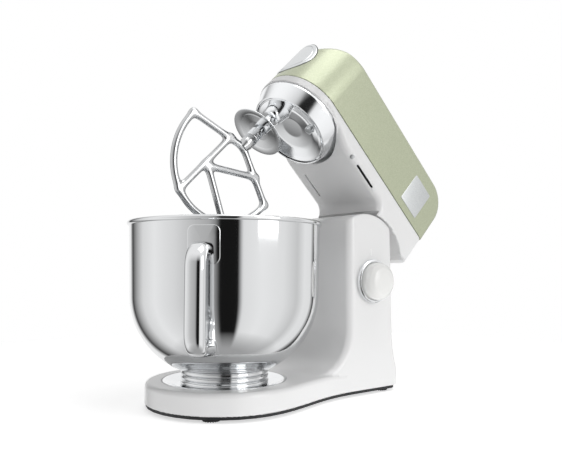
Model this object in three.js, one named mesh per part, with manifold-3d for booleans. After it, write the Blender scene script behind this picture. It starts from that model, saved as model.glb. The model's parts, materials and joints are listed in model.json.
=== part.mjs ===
// Tilt-head stand mixer, in millimetres, +Z up. The bowl axis is the Z axis and the nose points along -Y.
// The head is modelled in its closed place and then turned back about its hinge pin by HEAD_RAISED.
import * as THREE from 'three';
import Module from 'manifold-3d';
import { mergeVertices, toCreasedNormals } from 'three/addons/utils/BufferGeometryUtils.js';

const wasm = await Module();
wasm.setup();

// ---- driving dimensions -----------------------------------------------------------------------------
const GAP = 0.3; // air left between pieces that touch
const WALL = 3.2; // casting and cover wall
const HEAD_RAISED = 45; // degrees the head stands open at rest

const BASE_RADIUS = 92; // round front of the base
const BASE_TOP = 30.7;
const BASE_REAR = 234;
const BASE_REAR_CORNER = 16;
const BASE_WAIST_Y = 150; // where the base has narrowed to the column width
const BASE_EDGE_ROUND = 5.5;
const FOOT_HEIGHT = 3.2;
const PLATE_THICKNESS = 3;

const BODY_HALF_WIDTH = 62.7; // column and head share their side faces
const BODY_CORNER = 9; // upright corners of the column and the head
const COLUMN_FRONT = 144;
const COLUMN_REAR_TOP = 222;
const COLUMN_FRONT_FILLET = 53.3;

const PIVOT_Y = 175.9;
const PIVOT_Z = 169.1;
const KNUCKLE_RADIUS = 61.8; // round top of the column about the hinge pin
const KNUCKLE_CLEARANCE = 2;
const HINGE_PIN_RADIUS = 6;
const BUSH_WALL = 2;
const LUG_INNER_X = 32;
const LUG_THICKNESS = 8;
const ARM_INNER_X = 17.5;
const ARM_THICKNESS = 9;
const ARM_HALF_DEPTH = 9;
const ARM_HUB_RADIUS = 17;
const ARM_CLEARANCE = 2;

const SEAM_Z = 266.4; // line between the white casing and the green cover
const HEAD_TOP = 346.2;
const HEAD_REAR = 230;
const HEAD_TOP_CORNER = 37; // large rounds at the front and rear of the cover
const HEAD_EDGE_ROUND = 5;
const NOSE_RADIUS = BODY_HALF_WIDTH + 0.2;
const UNDERSIDE_Z = 242.9;
const NOSE_BAND_Z = 254.5; // lower edge of the white band round the nose
const NECK_FILLET = 16.3;
const REAR_LIP_Z = 221;

const BOWL_RIM_RADIUS = 115;
const BOWL_RIM_Z = 214.5;
const BOWL_RIM_ROLL = 2.7;
const BOWL_WALL_TOP_RADIUS = 112.2;
const BOWL_WALL = 1.2;
const BOWL_ROUND_RADIUS = 94; // the large round between the wall and the floor
const BOWL_ROUND_Z = 130;
const BOWL_ROUND_START = 110.5;
const BOWL_FLOOR_RADIUS = 30;
const BOWL_FOOT_RADIUS = 51;
const BOWL_FOOT_WALL = 2.2;
const FOOT_FLANGE_RADIUS = BOWL_FOOT_RADIUS - 5.5; // inner edge of the turned-in flange
const FOOT_TAB_RADIUS = BOWL_FOOT_RADIUS - 11.5; // inner edge of the bayonet tabs
const SEAT_LUG_RADIUS = BOWL_FOOT_RADIUS - 7.5;
const SEAT_HUB_RADIUS = SEAT_LUG_RADIUS - 5.5; // raised middle that carries the lugs
const BOWL_FOOT_Z = 26.5;
const HANDLE_ANGLE = -44; // degrees from +X about the bowl axis
const HANDLE_REACH = 152; // outermost radius from the bowl axis
const HANDLE_WIDTH = 21;
const HANDLE_DEPTH = 14;
const HANDLE_TOP_Z = 180;
const HANDLE_BOTTOM_Z = 79;
const HANDLE_BEND = 19;
const PLATE_SKIN = 1.2;

const SEAT_RADIUS = 72.2;
const SEAT_WALL = 1.6;
const SEAT_FLOOR_Z = 24.6;
const LUG_COUNT = 3;
const LUG_ANGLE = 24; // degrees of arc of each bayonet lug
const BOWL_RELEASE = 30; // degrees the bowl turns to come free of the lugs

const DIAL_Y = 184.4;
const DIAL_Z = 144;
const DIAL_RADIUS = 28;
const DIAL_KNOB_RADIUS = 24;
const DIAL_KNOB_LENGTH = 20;
const DIAL_SHAFT_RADIUS = 3;

const LATCH_Y = 203;
const LATCH_Z = 146;
const LATCH_SHAFT_RADIUS = 3;

const OUTLET_BACK_RADIUS = 61.1;
const OUTLET_FRONT_RADIUS = 53.3;
const OUTLET_FRONT_Z = 231.2;
const OUTLET_WALL = 2;
const DISH_RADIUS = 50.4;
const DISH_RIM_Z = 232.5;
const TOOL_OFFSET = 30; // planet axis from the outlet axis
const HUB_SCREW_X = 29;
const HUB_SCREW_Y = 8;
const HUB_SCREW_Z = 237.4;
const GEAR_MODULE = 2;
const RING_TEETH = 45;
const PINION_TEETH = RING_TEETH - 2 * TOOL_OFFSET / GEAR_MODULE;
const GEAR_PLAY = 0.04; // clearance between flanks, in tooth pitches
const GEAR_Z = 247;
const GEAR_HEIGHT = 7;
const HUB_SHAFT_RADIUS = 8;
const SPINDLE_RADIUS = 6;
const DRIP_DISC_RADIUS = 35.5;
const DRIP_DISC_Z = 191.7;
const SOCKET_RADIUS = 8.5;
const SOCKET_BOTTOM_Z = 177.7;
const SHANK_BOTTOM_Z = 165;

const CHASSIS_Z = NOSE_BAND_Z + WALL + 0.1; // just above the roof over the outlet
const CHASSIS_HALF_WIDTH = BODY_HALF_WIDTH - WALL - 5.5;
const CHASSIS_REAR = HEAD_REAR - WALL - 12.8;
const CHASSIS_THICKNESS = 6;
const PULLEY_Z = CHASSIS_Z + 9.2;
const PULLEY_HEIGHT = 10;
const LARGE_PULLEY_RADIUS = 42;
const SMALL_PULLEY_RADIUS = 9;
const BELT_THICKNESS = 2;
const MOTOR_Y = 140;
const MOTOR_HALF = 34;
const STATOR_Z = 284;
const STATOR_HEIGHT = 28;
const ROTOR_RADIUS = 21;
const MOTOR_SHAFT_RADIUS = 4;
const OUTLET_AXIS_Z = 310; // front outlet behind the nose cap
const BEVEL_RADIUS = 12;
const BEVEL_Z = 292.5;
const NOSE_CAP_RADIUS = 31;

const BEATER_HALF_WIDTH = 72;
const BEATER_CORNER_Z = 134.2;
const BEATER_BOTTOM_Z = 54.5; // centre line of the lowest bar
const BEATER_BAR = 4.4; // half thickness of a beater bar

const BOARD_X = 43; // inner face of the speed board
const GLAND_X = -30;
const GLAND_Z = 18;
const GLAND_RADIUS = 5.5;
const BADGE = { low: [158.5, 276.7], high: [199, 325], depth: 1.2 }; // recess in the cover, in (y, z)
const RING_OUTER = 49.4; // outside of the ring gear
const NOTCH_ANGLE = -28; // degrees of the outlet ring's notch
const BEARING_OUTER = 17;
const BEARING_HEIGHT = 8;
const BEARING_FIT = 0.15; // clearance of the bearing in its seat

const PAINT = { color: 0xe6e6e4, roughness: 0.3, metalness: 0 };
const GREEN = { color: 0xb4bf95, roughness: 0.35, metalness: 0.5 };
const STEEL = { color: 0xd6d8da, roughness: 0.1, metalness: 1 };
const CHROME = { color: 0xe0e2e4, roughness: 0.06, metalness: 1 };
const DARK_STEEL = { color: 0x6e7175, roughness: 0.35, metalness: 1 };
const ALUMINIUM = { color: 0xb9bcbf, roughness: 0.5, metalness: 1 };
const BRONZE = { color: 0xa67c45, roughness: 0.4, metalness: 1 };
const COPPER = { color: 0xb06a3c, roughness: 0.4, metalness: 1 };
const BLACK_PLASTIC = { color: 0x1d1e20, roughness: 0.5, metalness: 0 };
const WHITE_PLASTIC = { color: 0xf0f0ee, roughness: 0.3, metalness: 0 };
const RUBBER = { color: 0x191919, roughness: 0.85, metalness: 0 };
const NYLON = { color: 0xd9d3bf, roughness: 0.5, metalness: 0 };
const BOARD = { color: 0x2f5e3d, roughness: 0.5, metalness: 0 };

const root = new THREE.Group();
const stand = new THREE.Group();
const head = new THREE.Group();
root.add(stand, head);

// ---- helpers ----------------------------------------------------------------------------------------
const radians = THREE.MathUtils.degToRad;

/** Signed volume of an indexed geometry, positive when its faces point outward. */
function signedVolume(geometry) {
  const position = geometry.getAttribute('position');
  const index = geometry.getIndex();
  const [a, b, c] = [new THREE.Vector3(), new THREE.Vector3(), new THREE.Vector3()];
  let volume = 0;
  for (let i = 0; i < index.count; i += 3) {
    a.fromBufferAttribute(position, index.getX(i));
    b.fromBufferAttribute(position, index.getX(i + 1));
    c.fromBufferAttribute(position, index.getX(i + 2));
    volume += a.dot(b.cross(c)) / 6;
  }
  return volume;
}

/** A manifold solid from a closed three.js geometry, whichever way its faces point. */
function solid(geometry) {
  const plain = geometry.clone();
  plain.deleteAttribute('normal');
  plain.deleteAttribute('uv');
  const welded = mergeVertices(plain, 1e-4);
  const triangles = Uint32Array.from(welded.getIndex().array);
  if (signedVolume(welded) < 0) {
    for (let i = 0; i < triangles.length; i += 3) {
      [triangles[i], triangles[i + 1]] = [triangles[i + 1], triangles[i]];
    }
  }
  const vertices = Float32Array.from(welded.getAttribute('position').array);
  return new wasm.Manifold(new wasm.Mesh({ numProp: 3, vertProperties: vertices, triVerts: triangles }));
}

/** A three.js geometry with smooth normals across soft edges from a manifold solid. */
function surface(body) {
  const mesh = body.getMesh();
  const geometry = new THREE.BufferGeometry();
  geometry.setAttribute('position', new THREE.BufferAttribute(mesh.vertProperties, 3));
  geometry.setIndex(new THREE.BufferAttribute(mesh.triVerts, 1));
  return toCreasedNormals(geometry, 0.6);
}

/** Adds one named piece to a group. */
function add(group, name, body, finish) {
  const mesh = new THREE.Mesh(surface(body), new THREE.MeshStandardMaterial(finish));
  mesh.name = name;
  group.add(mesh);
  return mesh;
}

const union = (bodies) => bodies.reduce((whole, body) => whole.add(body));

/** A box from its lowest and highest corners. */
function box(low, high) {
  const size = high.map((value, i) => value - low[i]);
  const geometry = new THREE.BoxGeometry(...size);
  geometry.translate(...low.map((value, i) => value + size[i] / 2));
  return solid(geometry);
}

/** Turns a geometry made along Z so that it points along another axis. */
function aim(geometry, axis) {
  if (axis === 'x') {
    geometry.applyMatrix4(new THREE.Matrix4().makeBasis(
      new THREE.Vector3(0, 1, 0),
      new THREE.Vector3(0, 0, 1),
      new THREE.Vector3(1, 0, 0),
    ));
  }
  if (axis === 'y') {
    geometry.applyMatrix4(new THREE.Matrix4().makeBasis(
      new THREE.Vector3(1, 0, 0),
      new THREE.Vector3(0, 0, -1),
      new THREE.Vector3(0, 1, 0),
    ));
  }
  return geometry;
}

/** A body of revolution about an axis through `at`, from [radius, height] points; it closes on the axis. */
function turned(points, { axis = 'z', at = [0, 0, 0], segments = 32 } = {}) {
  const profile = points.map(([radius, height]) => new THREE.Vector2(radius, height));
  const geometry = new THREE.LatheGeometry(profile, segments);
  geometry.rotateX(Math.PI / 2);
  aim(geometry, axis);
  geometry.translate(...at);
  return solid(geometry);
}

/** A solid rod of revolution. */
function rod(radius, from, to, options = {}) {
  return turned([[0, from], [radius, from], [radius, to], [0, to]], { segments: 16, ...options });
}

/** A plain ring or tube of revolution. */
function ring(inner, outer, from, to, options = {}) {
  return turned([[inner, from], [outer, from], [outer, to], [inner, to], [inner, from]], options);
}

/** A shape drawn across `axis` and extruded along it from `from` to `to`, with optional rounds. */
function prism(shape, from, to, { axis = 'z', round = 0, curve = 10, steps = 3 } = {}) {
  const geometry = new THREE.ExtrudeGeometry(shape, {
    depth: to - from - 2 * round,
    bevelEnabled: round > 0,
    bevelThickness: round,
    bevelSize: round,
    bevelOffset: -round,
    bevelSegments: steps,
    curveSegments: curve,
  });
  geometry.translate(0, 0, from + round);
  return solid(aim(geometry, axis));
}

/** A shape of straight lines through points. */
const polygon = (points) => new THREE.Shape(points.map(([x, y]) => new THREE.Vector2(x, y)));

/** A rectangle with round corners, from its low and high corners. */
function roundedRectangle([x0, y0], [x1, y1], radius) {
  const shape = new THREE.Shape();
  shape.absarc(x1 - radius, y0 + radius, radius, -Math.PI / 2, 0);
  shape.absarc(x1 - radius, y1 - radius, radius, 0, Math.PI / 2);
  shape.absarc(x0 + radius, y1 - radius, radius, Math.PI / 2, Math.PI);
  shape.absarc(x0 + radius, y0 + radius, radius, Math.PI, 1.5 * Math.PI);
  shape.closePath();
  return shape;
}

/** Copies of a solid turned about an upright axis. */
function around(body, count, [x, y] = [0, 0]) {
  const copies = [];
  for (let i = 0; i < count; i += 1) {
    copies.push(body.translate([-x, -y, 0]).rotate([0, 0, 360 * i / count]).translate([x, y, 0]));
  }
  return union(copies);
}

/** Points of an arc in a plane, from one angle to another in degrees. */
function arcPoints([u, v], radius, from, to, count) {
  const points = [];
  for (let i = 0; i <= count; i += 1) {
    const angle = radians(from + (to - from) * i / count);
    points.push([u + radius * Math.cos(angle), v + radius * Math.sin(angle)]);
  }
  return points;
}

/** A bar with an oval section swept along points. */
function sweptBar(points, halfWidth, halfDepth, { steps = 24, sides = 12 } = {}) {
  const section = new THREE.Shape();
  section.absellipse(0, 0, halfWidth, halfDepth, 0, 2 * Math.PI);
  const path = new THREE.CatmullRomCurve3(points, false, 'centripetal');
  const geometry = new THREE.ExtrudeGeometry(section, {
    steps,
    bevelEnabled: false,
    extrudePath: path,
    curveSegments: sides,
  });
  return solid(geometry);
}

/** Straight-sided teeth on a pitch circle; `tip` and `root` are in modules and `play` in tooth pitches. */
function gear(teeth, from, to, { tip = 0.85, root = 1.15, play = 0, at = [0, 0] } = {}) {
  const pitch = teeth * GEAR_MODULE / 2;
  const outline = [
    [-0.32 - play, pitch - root * GEAR_MODULE], [-0.14 - play, pitch + tip * GEAR_MODULE],
    [0.14 + play, pitch + tip * GEAR_MODULE], [0.32 + play, pitch - root * GEAR_MODULE],
  ];
  const points = [];
  for (let tooth = 0; tooth < teeth; tooth += 1) {
    for (const [share, radius] of outline) {
      const angle = 2 * Math.PI * (tooth + share) / teeth - Math.PI / 2;
      points.push([at[0] + radius * Math.cos(angle), at[1] + radius * Math.sin(angle)]);
    }
  }
  return prism(polygon(points), from, to);
}

/** A screw along an axis: its head rests at `seat` and its shank runs by `length`, which may be negative. */
function screw(seat, length, { headRadius = 3.6, headHeight = 2, shankRadius = 1.7, ...place } = {}) {
  const side = Math.sign(length);
  const top = seat - side * headHeight;
  return turned([
    [0, top], [headRadius * 0.8, top], [headRadius, seat - side * headHeight * 0.6], [headRadius, seat],
    [shankRadius, seat], [shankRadius, seat + length], [0, seat + length],
  ], { segments: 8, ...place });
}

// ---- base and column --------------------------------------------------------------------------------
/** Plan of the base, drawn inward by `inset`. */
function basePlan(inset) {
  const radius = BASE_RADIUS - inset;
  const half = BODY_HALF_WIDTH - inset;
  const rear = BASE_REAR - inset;
  const corner = BASE_REAR_CORNER - inset;
  const shape = new THREE.Shape();
  shape.absarc(0, 0, radius, Math.PI, 2 * Math.PI);
  shape.bezierCurveTo(radius, BASE_WAIST_Y / 3, half, BASE_WAIST_Y * 0.57, half, BASE_WAIST_Y);
  shape.absarc(half - corner, rear - corner, corner, 0, Math.PI / 2);
  shape.absarc(corner - half, rear - corner, corner, Math.PI / 2, Math.PI);
  shape.lineTo(-half, BASE_WAIST_Y);
  shape.bezierCurveTo(-half, BASE_WAIST_Y * 0.57, -radius, BASE_WAIST_Y / 3, -radius, 0);
  return shape;
}

/** Side profile of the column in (y, z), drawn inward by `inset`. */
function columnProfile(inset, floor) {
  const front = COLUMN_FRONT + inset;
  const fillet = COLUMN_FRONT_FILLET + inset;
  const shape = new THREE.Shape();
  const filletY = COLUMN_FRONT - COLUMN_FRONT_FILLET;
  const filletZ = BASE_TOP + COLUMN_FRONT_FILLET;
  shape.moveTo(front, PIVOT_Z + 2 * KNUCKLE_RADIUS);
  shape.lineTo(front, filletZ);
  shape.absarc(filletY, filletZ, fillet, 0, -Math.PI / 2, true);
  shape.lineTo(filletY, floor);
  shape.lineTo(BASE_REAR - 1 - inset, floor);
  shape.lineTo(BASE_REAR - 1 - inset, BASE_TOP + 4);
  shape.quadraticCurveTo(COLUMN_REAR_TOP + 4 - inset, 48, COLUMN_REAR_TOP + 2.6 - inset, 88);
  shape.lineTo(COLUMN_REAR_TOP - inset, PIVOT_Z + 2 * KNUCKLE_RADIUS);
  return shape;
}

/** The outside of base and column, drawn inward by `inset`, standing from `floor` up. */
function standBody(inset, floor) {
  const half = BODY_HALF_WIDTH - inset;
  const top = BASE_TOP - inset;
  const base = prism(basePlan(inset), floor - 2 * BASE_EDGE_ROUND, top, { round: BASE_EDGE_ROUND,
    curve: 8, steps: 2 });
  const column = prism(columnProfile(inset, floor), -half, half,
    { axis: 'x', round: BODY_CORNER - inset, curve: 4, steps: 2 });
  const knuckle = rod(KNUCKLE_RADIUS - inset, -100, 100, { axis: 'x', at: [0, PIVOT_Y, PIVOT_Z],
    segments: 32 });
  const below = box([-100, 0, 0], [100, 300, PIVOT_Z + 20]);
  const above = box([-200, -200, floor], [200, 300, 400]);
  return base.add(column.intersect(knuckle.add(below))).intersect(above);
}

const castingFloor = FOOT_HEIGHT + PLATE_THICKNESS + 2 * GAP;
const lugBoreRadius = HINGE_PIN_RADIUS + GAP + BUSH_WALL + GAP;
const footPlaces = [[56, -52], [-56, -52], [46, 214], [-46, 214]];
const baseScrewPlaces = [[80, 18], [-80, 18], [0, BASE_REAR - 7]];

/** One inner lug that carries a hinge bush. */
function hingeLug(side) {
  const inner = side * LUG_INNER_X;
  const outer = side * (LUG_INNER_X + LUG_THICKNESS);
  const low = [Math.min(inner, outer), COLUMN_FRONT, 132];
  const high = [Math.max(inner, outer), COLUMN_REAR_TOP + 4, PIVOT_Z + KNUCKLE_RADIUS];
  return box(low, high).intersect(standBody(1, castingFloor));
}

/** The slot in the knuckle that one hinge arm sweeps through. */
function armSlot(side) {
  const low = ARM_INNER_X - ARM_CLEARANCE;
  const high = ARM_INNER_X + ARM_THICKNESS + ARM_CLEARANCE;
  const reach = 2 * KNUCKLE_RADIUS;
  const half = Math.asin((ARM_HALF_DEPTH + ARM_CLEARANCE) / (KNUCKLE_RADIUS - WALL));
  const front = Math.PI / 2 + half;
  const rear = Math.PI / 2 - radians(HEAD_RAISED) - half;
  const corner = (angle) => [PIVOT_Y + reach * Math.cos(angle), PIVOT_Z + reach * Math.sin(angle)];
  const shape = polygon([[PIVOT_Y, PIVOT_Z], corner(rear), corner((front + rear) / 2), corner(front)]);
  const [from, to] = side > 0 ? [low, high] : [-high, -low];
  return prism(shape, from, to, { axis: 'x' });
}

function standCasting() {
  let body = standBody(0, castingFloor).subtract(standBody(WALL, 0));
  for (const side of [-1, 1]) {
    body = body.add(hingeLug(side));
    body = body.subtract(armSlot(side));
  }
  for (const [x, y] of baseScrewPlaces) {
    body = body.add(rod(5, castingFloor, BASE_TOP - 1, { at: [x, y, 0], segments: 8 }));
    body = body.subtract(rod(2, 0, 20, { at: [x, y, 0], segments: 8 }));
  }
  for (const [y, z] of boardPosts) {
    body = body.add(rod(3.5, BOARD_X + 2 + GAP, BODY_HALF_WIDTH - 1, { axis: 'x', at: [0, y, z],
      segments: 12 }));
  }
  body = body.subtract(rod(lugBoreRadius, -LUG_INNER_X - 12, LUG_INNER_X + 12, { axis: 'x', at: [0,
    PIVOT_Y, PIVOT_Z] }));
  body = body.subtract(rod(SEAT_RADIUS + GAP, BASE_TOP - 2.3, 100, { segments: 32 }));
  body = body.subtract(rod(SEAT_RADIUS - 5, 0, 100, { segments: 32 }));
  body = body.subtract(rod(DIAL_SHAFT_RADIUS + 1, 50, 100, { axis: 'x', at: [0, DIAL_Y, DIAL_Z] }));
  body = body.subtract(rod(LATCH_SHAFT_RADIUS + GAP, -100, -20, { axis: 'x', at: [0, LATCH_Y, LATCH_Z] }));
  body = body.subtract(rod(GLAND_RADIUS + GAP, 220, 250, { axis: 'y', at: [GLAND_X, 0, GLAND_Z] }));
  return body;
}

const boardPosts = [[163, 117], [206, 168]];

add(stand, 'stand_casting', standCasting(), PAINT);

function basePlate() {
  let plate = prism(basePlan(1.2), FOOT_HEIGHT + GAP, FOOT_HEIGHT + GAP + PLATE_THICKNESS, { curve: 8 });
  for (const [x, y] of baseScrewPlaces) {
    plate = plate.subtract(rod(2.2, 0, 20, { at: [x, y, 0], segments: 8 }));
  }
  return plate;
}
add(stand, 'base_plate', basePlate(), BLACK_PLASTIC);

footPlaces.forEach(([x, y], i) => {
  const foot = turned([[0, 0], [9, 0], [10, 1], [10, FOOT_HEIGHT], [0, FOOT_HEIGHT]], { at: [x, y, 0],
    segments: 14 });
  add(stand, `rubber_foot_${i + 1}`, foot, RUBBER);
});
baseScrewPlaces.forEach(([x, y], i) => {
  const body = screw(FOOT_HEIGHT, 14, { at: [x, y, 0], headHeight: 1.8 });
  add(stand, `base_screw_${i + 1}`, body, DARK_STEEL);
});

// the chrome dish that the bowl stands in, with its bayonet lugs
function bowlSeat() {
  const top = BASE_TOP;
  const dish = turned([
    [0, SEAT_FLOOR_Z], [SEAT_HUB_RADIUS - 2, SEAT_FLOOR_Z], [SEAT_HUB_RADIUS, SEAT_FLOOR_Z - 1],
    [BOWL_FOOT_RADIUS + 5, SEAT_FLOOR_Z - 1],
    [SEAT_RADIUS - 5.4, top - SEAT_WALL], [SEAT_RADIUS, top - SEAT_WALL - 0.3],
    [SEAT_RADIUS, top], [SEAT_RADIUS - 3, top + 0.3],
    [BOWL_FOOT_RADIUS + 5, SEAT_FLOOR_Z - 1 + SEAT_WALL],
    [SEAT_HUB_RADIUS, SEAT_FLOOR_Z - 1 + SEAT_WALL], [SEAT_HUB_RADIUS, 33], [0, 33],
  ], { segments: 32 });
  const sector = new THREE.Shape();
  sector.absarc(0, 0, SEAT_LUG_RADIUS, -radians(LUG_ANGLE / 2), radians(LUG_ANGLE / 2));
  sector.lineTo(SEAT_HUB_RADIUS - 8, 0);
  return dish.add(around(prism(sector, 30.6, 33, { curve: 4 }), LUG_COUNT));
}
add(stand, 'bowl_seat', bowlSeat(), CHROME);

// hinge pin with bushes and retaining rings
const pinEnd = LUG_INNER_X + LUG_THICKNESS + 3;
const hinge = { axis: 'x', at: [0, PIVOT_Y, PIVOT_Z] };
const clipStart = LUG_INNER_X + LUG_THICKNESS + GAP;
add(stand, 'hinge_pin', rod(HINGE_PIN_RADIUS, -pinEnd, pinEnd, hinge)
  .add(rod(10, -clipStart - 2, -clipStart, hinge)), DARK_STEEL);
add(stand, 'hinge_clip', ring(HINGE_PIN_RADIUS + GAP, 10, clipStart, clipStart + 1.5, { ...hinge,
  segments: 16 }), DARK_STEEL);
for (const [side, name] of [[-1, 'left'], [1, 'right']]) {
  const ends = [side * LUG_INNER_X, side * (LUG_INNER_X + LUG_THICKNESS)].sort((a, b) => a - b);
  const bush = ring(HINGE_PIN_RADIUS + GAP, HINGE_PIN_RADIUS + GAP + BUSH_WALL, ...ends, { ...hinge,
    segments: 20 });
  add(stand, `hinge_bush_${name}`, bush, BRONZE);
}

// latch: outside lever, shaft and hook in one piece, and its torsion spring
function latchLever() {
  const place = { axis: 'x', at: [0, LATCH_Y, LATCH_Z] };
  const leverX = -BODY_HALF_WIDTH - 1;
  const shaft = rod(LATCH_SHAFT_RADIUS, leverX - 3, -ARM_INNER_X, { ...place, segments: 12 });
  const paddle = prism(roundedRectangle([LATCH_Y - 34, LATCH_Z - 8], [LATCH_Y + 8, LATCH_Z + 8], 7.9),
    leverX - 8, leverX,
    { axis: 'x', round: 1.5, steps: 1, curve: 3 });
  const hookLow = LATCH_Z - 3;
  const hookTop = PIVOT_Z - ARM_HUB_RADIUS - 0.6;
  const hook = prism(polygon([
    [LATCH_Y + 5, hookLow], [LATCH_Y + 5, LATCH_Z + 3.4], [PIVOT_Y + 3, LATCH_Z + 3.4],
    [PIVOT_Y + 2, hookTop], [PIVOT_Y - 2, hookTop], [PIVOT_Y - 3, hookLow],
  ]), -ARM_INNER_X - ARM_THICKNESS, -ARM_INNER_X, { axis: 'x' });
  return union([shaft, paddle, hook]);
}
add(stand, 'latch_lever', latchLever(), WHITE_PLASTIC);

function latchSpring() {
  const turns = 4;
  const points = [];
  for (let i = 0; i <= turns * 8; i += 1) {
    const angle = 2 * Math.PI * i / 8;
    const x = -LUG_INNER_X - LUG_THICKNESS - 3 - 1.9 * i / 8;
    points.push(new THREE.Vector3(x, LATCH_Y + 4.4 * Math.cos(angle), LATCH_Z + 4.4 * Math.sin(angle)));
  }
  return sweptBar(points, 0.6, 0.6, { steps: points.length - 1, sides: 2 });
}
add(stand, 'latch_spring', latchSpring(), DARK_STEEL);

// speed dial
const dial = { axis: 'x', at: [0, DIAL_Y, DIAL_Z] };
const dialFace = BODY_HALF_WIDTH + GAP;
add(stand, 'dial_ring', turned([
  [6, dialFace], [DIAL_RADIUS, dialFace], [DIAL_RADIUS, dialFace + 4], [DIAL_RADIUS - 1.5, dialFace + 5.5],
  [DIAL_KNOB_RADIUS + 0.8, dialFace + 5.5], [DIAL_KNOB_RADIUS + 0.8, dialFace + 1.6], [6,
    dialFace + 1.6], [6, dialFace],
], { ...dial, segments: 28 }), CHROME);
const knobBack = dialFace + 2.6;
add(stand, 'dial_knob', turned([
  [DIAL_SHAFT_RADIUS + GAP, knobBack], [DIAL_KNOB_RADIUS, knobBack], [DIAL_KNOB_RADIUS, knobBack + 9],
  [DIAL_KNOB_RADIUS - 1.5, knobBack + 13.5], [DIAL_KNOB_RADIUS - 6, knobBack + 17.5],
  [DIAL_KNOB_RADIUS - 13, knobBack + DIAL_KNOB_LENGTH - 0.6], [0, knobBack + DIAL_KNOB_LENGTH],
  [0, knobBack + 12], [DIAL_SHAFT_RADIUS + GAP, knobBack + 12], [DIAL_SHAFT_RADIUS + GAP, knobBack],
], { ...dial, segments: 28 }), WHITE_PLASTIC);
add(stand, 'dial_shaft', rod(DIAL_SHAFT_RADIUS, LUG_INNER_X + LUG_THICKNESS + 1, knobBack + 11.7,
  { ...dial, segments: 12 }), DARK_STEEL);

const boardBody = box([BOARD_X, 158, 112], [BOARD_X + 2, 211, 173])
  .subtract(rod(DIAL_SHAFT_RADIUS + 0.6, 0, 100, dial));
add(stand, 'speed_control_board', boardBody, BOARD);
add(stand, 'speed_potentiometer', box([BOARD_X + 2 + GAP, DIAL_Y - 9, DIAL_Z - 9], [BOARD_X + 9,
  DIAL_Y + 9, DIAL_Z + 9])
  .subtract(rod(DIAL_SHAFT_RADIUS + 0.3, 0, 100, dial)), BLACK_PLASTIC);

add(stand, 'cord_gland', turned([
  [3.4, 224], [GLAND_RADIUS, 224], [GLAND_RADIUS, BASE_REAR + GAP], [9, BASE_REAR + GAP], [8,
    BASE_REAR + 3],
  [3.4, BASE_REAR + 5], [3.4, 224],
], { axis: 'y', at: [GLAND_X, 0, GLAND_Z], segments: 20 }), RUBBER);

// ---- bowl -------------------------------------------------------------------------------------------
const roundCentre = BOWL_ROUND_START - BOWL_ROUND_RADIUS;

/** Outside profile of the bowl from its floor to just under the rim, moved outward by `offset`. */
function bowlProfile(offset) {
  const radius = BOWL_ROUND_RADIUS + offset;
  const start = -THREE.MathUtils.radToDeg(Math.acos((BOWL_FLOOR_RADIUS - roundCentre) / BOWL_ROUND_RADIUS));
  const arc = arcPoints([roundCentre, BOWL_ROUND_Z], radius, start, 0, 7);
  return [...arc, [BOWL_WALL_TOP_RADIUS + offset, BOWL_RIM_Z - 2 * BOWL_RIM_ROLL]];
}

function bowlShell() {
  const outer = bowlProfile(0);
  const inner = bowlProfile(-BOWL_WALL).reverse();
  const rimCentre = [BOWL_RIM_RADIUS - BOWL_RIM_ROLL, BOWL_RIM_Z - BOWL_RIM_ROLL];
  const roll = arcPoints(rimCentre, BOWL_RIM_ROLL, -70, 180, 5);
  const floor = outer[0][1];
  return turned([[0, floor], ...outer, ...roll, ...inner, [0, floor + BOWL_WALL]], { segments: 32 });
}

/** Height of the bowl's outside at a radius on its large round. */
const bowlUnderside = (radius) => {
  const across = radius - roundCentre;
  return BOWL_ROUND_Z - Math.sqrt(BOWL_ROUND_RADIUS ** 2 - across ** 2);
};

function bowlFoot() {
  const outer = BOWL_FOOT_RADIUS;
  const inner = outer - BOWL_FOOT_WALL;
  const flangeTop = BOWL_FOOT_Z + 2;
  const body = turned([
    [FOOT_FLANGE_RADIUS, BOWL_FOOT_Z], [outer + 0.8, BOWL_FOOT_Z], [outer + 0.8, 30.5], [outer - 1,
    32], [outer, 34.5],
    [outer - 1, 37], [outer, bowlUnderside(outer) - GAP],
    [inner, bowlUnderside(inner) - GAP], [inner, flangeTop], [FOOT_FLANGE_RADIUS, flangeTop],
    [FOOT_FLANGE_RADIUS, BOWL_FOOT_Z],
  ], { segments: 28 });
  const tab = new THREE.Shape();
  const tabStart = radians(-LUG_ANGLE / 2 - 3);
  const tabEnd = radians(360 / LUG_COUNT - BOWL_RELEASE - LUG_ANGLE / 2 - 3);
  tab.absarc(0, 0, outer - 1, tabStart, tabEnd);
  tab.absarc(0, 0, FOOT_TAB_RADIUS, tabEnd, tabStart, true);
  return body.add(around(prism(tab, BOWL_FOOT_Z, flangeTop, { curve: 4 }), LUG_COUNT));
}

const handleTurn = [0, 0, HANDLE_ANGLE];

/** A plate that follows the bowl wall behind one end of the handle. */
function weldPlate(halfWidth, low, high) {
  const near = bowlProfile(GAP);
  const far = bowlProfile(GAP + PLATE_SKIN).reverse();
  const skin = turned([...near, ...far, near[0]], { segments: 32 });
  const patch = prism(roundedRectangle([-halfWidth, low], [halfWidth, high], Math.min(halfWidth, 7)),
    60, 130,
    { axis: 'x', curve: 4 });
  return skin.intersect(patch).rotate(handleTurn);
}

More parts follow.
